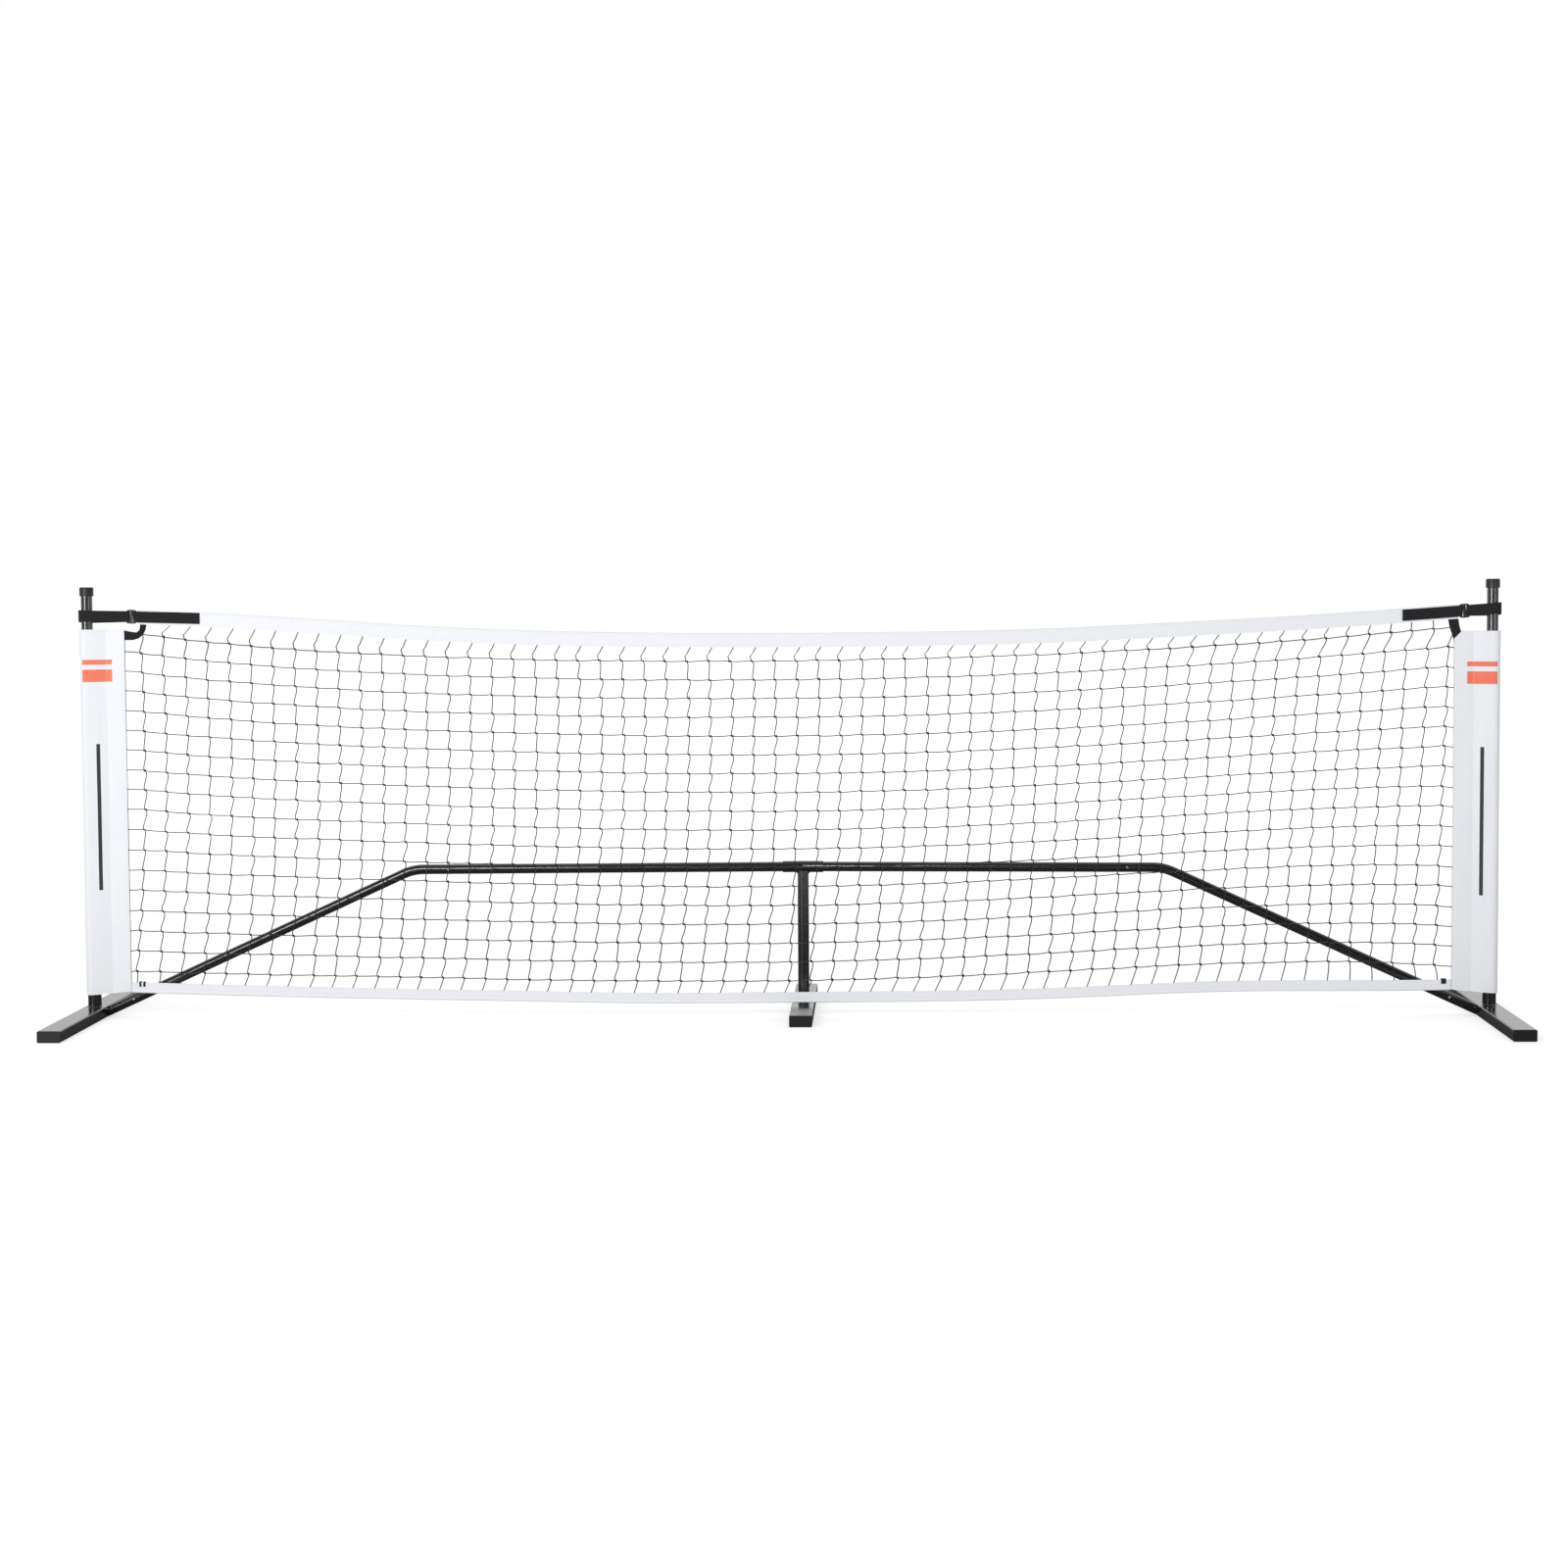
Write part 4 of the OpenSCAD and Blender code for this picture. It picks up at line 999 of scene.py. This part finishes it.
def stage():
    deselect()
    bpy.ops.mesh.primitive_plane_add(size=80, location=(0, 0, -0.0004))
    floor = bpy.context.active_object
    floor.name = "floor"
    made = Finish("pale_floor", Roughness=0.9, Specular_IOR_Level=0.0)
    lift = made.node("Emission")
    lift.inputs["Color"].default_value = (1, 1, 1, 1)
    path = made.node("LightPath")
    reach = made.node("VectorMath", operation="LENGTH")
    made.link(made.object_place, reach.inputs[0])
    sweep = made.ramp(reach.outputs["Value"], 2.3, 4.5)
    glossy = path.outputs["Is Glossy Ray"]
    seen = made.math("MAXIMUM", path.outputs["Is Camera Ray"], path.outputs["Is Transmission Ray"])
    seen = made.math("MAXIMUM", seen, made.math("MULTIPLY", glossy, sweep))
    # Painted reflection shade: near the object the floor turns dark grey for glossy rays only, so the
    # tubes reflect a darker floor than the camera sees
    near_reflection_shade = made.math("MULTIPLY", glossy, made.math("SUBTRACT", 1.0, sweep))
    made.feed("Base Color", made.mix(near_reflection_shade, (0.62, 0.62, 0.62), (0.14, 0.14, 0.14)))
    level = made.ramp(reach.outputs["Value"], 1.5, 6.0, 0.58, 0.82)
    made.link(made.math("MULTIPLY", seen, level), lift.inputs["Strength"])
    add = made.node("AddShader")
    made.link(made.shader.outputs[0], add.inputs[0])
    made.link(lift.outputs[0], add.inputs[1])
    made.link(add.outputs[0], made.tree.nodes["Material Output"].inputs["Surface"])
    made.material.cycles.emission_sampling = "NONE"
    floor.data.materials.append(made.material)

    world = bpy.data.worlds.new("white_studio")
    bpy.context.scene.world = world
    world.use_nodes = True
    t = Tree(world.node_tree)
    back = world.node_tree.nodes["Background"]
    path = t.node("LightPath")
    place = t.node("TexCoord")
    split = t.node("SeparateXYZ")
    t.link(place.outputs["Generated"], split.inputs[0])
    behind = t.ramp(split.outputs["Y"], -0.1, 0.4, 0.03, 1.0)
    above = t.ramp(split.outputs["Z"], 0.6, 0.98, 0.0, 0.4)
    mirrored = t.math("MAXIMUM", behind, above)
    diffuse = t.ramp(split.outputs["Y"], -0.2, 0.5, 0.34, 1.0)
    seen = t.math("MAXIMUM", path.outputs["Is Camera Ray"], path.outputs["Is Transmission Ray"])
    glossy = path.outputs["Is Glossy Ray"]
    level = t.math("ADD", t.math("MULTIPLY", glossy, mirrored),
                   t.math("MULTIPLY", t.math("SUBTRACT", 1.0, glossy), diffuse))
    level = t.math("ADD", seen, t.math("MULTIPLY", t.math("SUBTRACT", 1.0, seen), level))
    t.link(level, back.inputs["Strength"])
    back.inputs["Color"].default_value = (1, 1, 1, 1)


def lamp(name, place, aim, size, power):
    data = bpy.data.lights.new(name, "AREA")
    data.shape = "RECTANGLE"
    data.size, data.size_y = size
    data.energy = power
    made = bpy.data.objects.new(name, data)
    bpy.context.scene.collection.objects.link(made)
    made.location = place
    made.rotation_euler = (Vector(aim) - Vector(place)).to_track_quat("-Z", "Y").to_euler()


def camera():
    data = bpy.data.cameras.new("camera")
    data.lens, data.sensor_width = 68.36, 36
    data.clip_start, data.clip_end = 0.1, 200
    made = bpy.data.objects.new("camera", data)
    bpy.context.scene.collection.objects.link(made)
    yaw, pitch, roll = 0.03416, 0.06477, 0.00606
    turn = (Matrix.Rotation(yaw, 3, "Z") @ Matrix.Rotation(-pitch, 3, "X")
            @ Matrix.Rotation(roll, 3, "Y"))
    right, ahead, up = (turn.col[k] for k in range(3))
    basis = Matrix((right, up, -ahead)).transposed()
    made.matrix_world = Matrix.Translation((0.22473, -6.65386, 0.95759)) @ basis.to_4x4()
    bpy.context.scene.camera = made


stage()
lamp("tall_softbox", (-7.5, -11.5, 0.9), (0, 0, 0.7), (1.2, 3.4), 430)
lamp("long_softbox", (-2.2, -6.0, 2.95), (-0.5, 0, 0.4), (3.4, 1.4), 195)
lamp("side_softbox", (4.2, -3.6, 0.8), (-1.2, 0, 0.6), (0.8, 2.4), 30)
camera()
bpy.context.scene.view_settings.view_transform = "Standard"
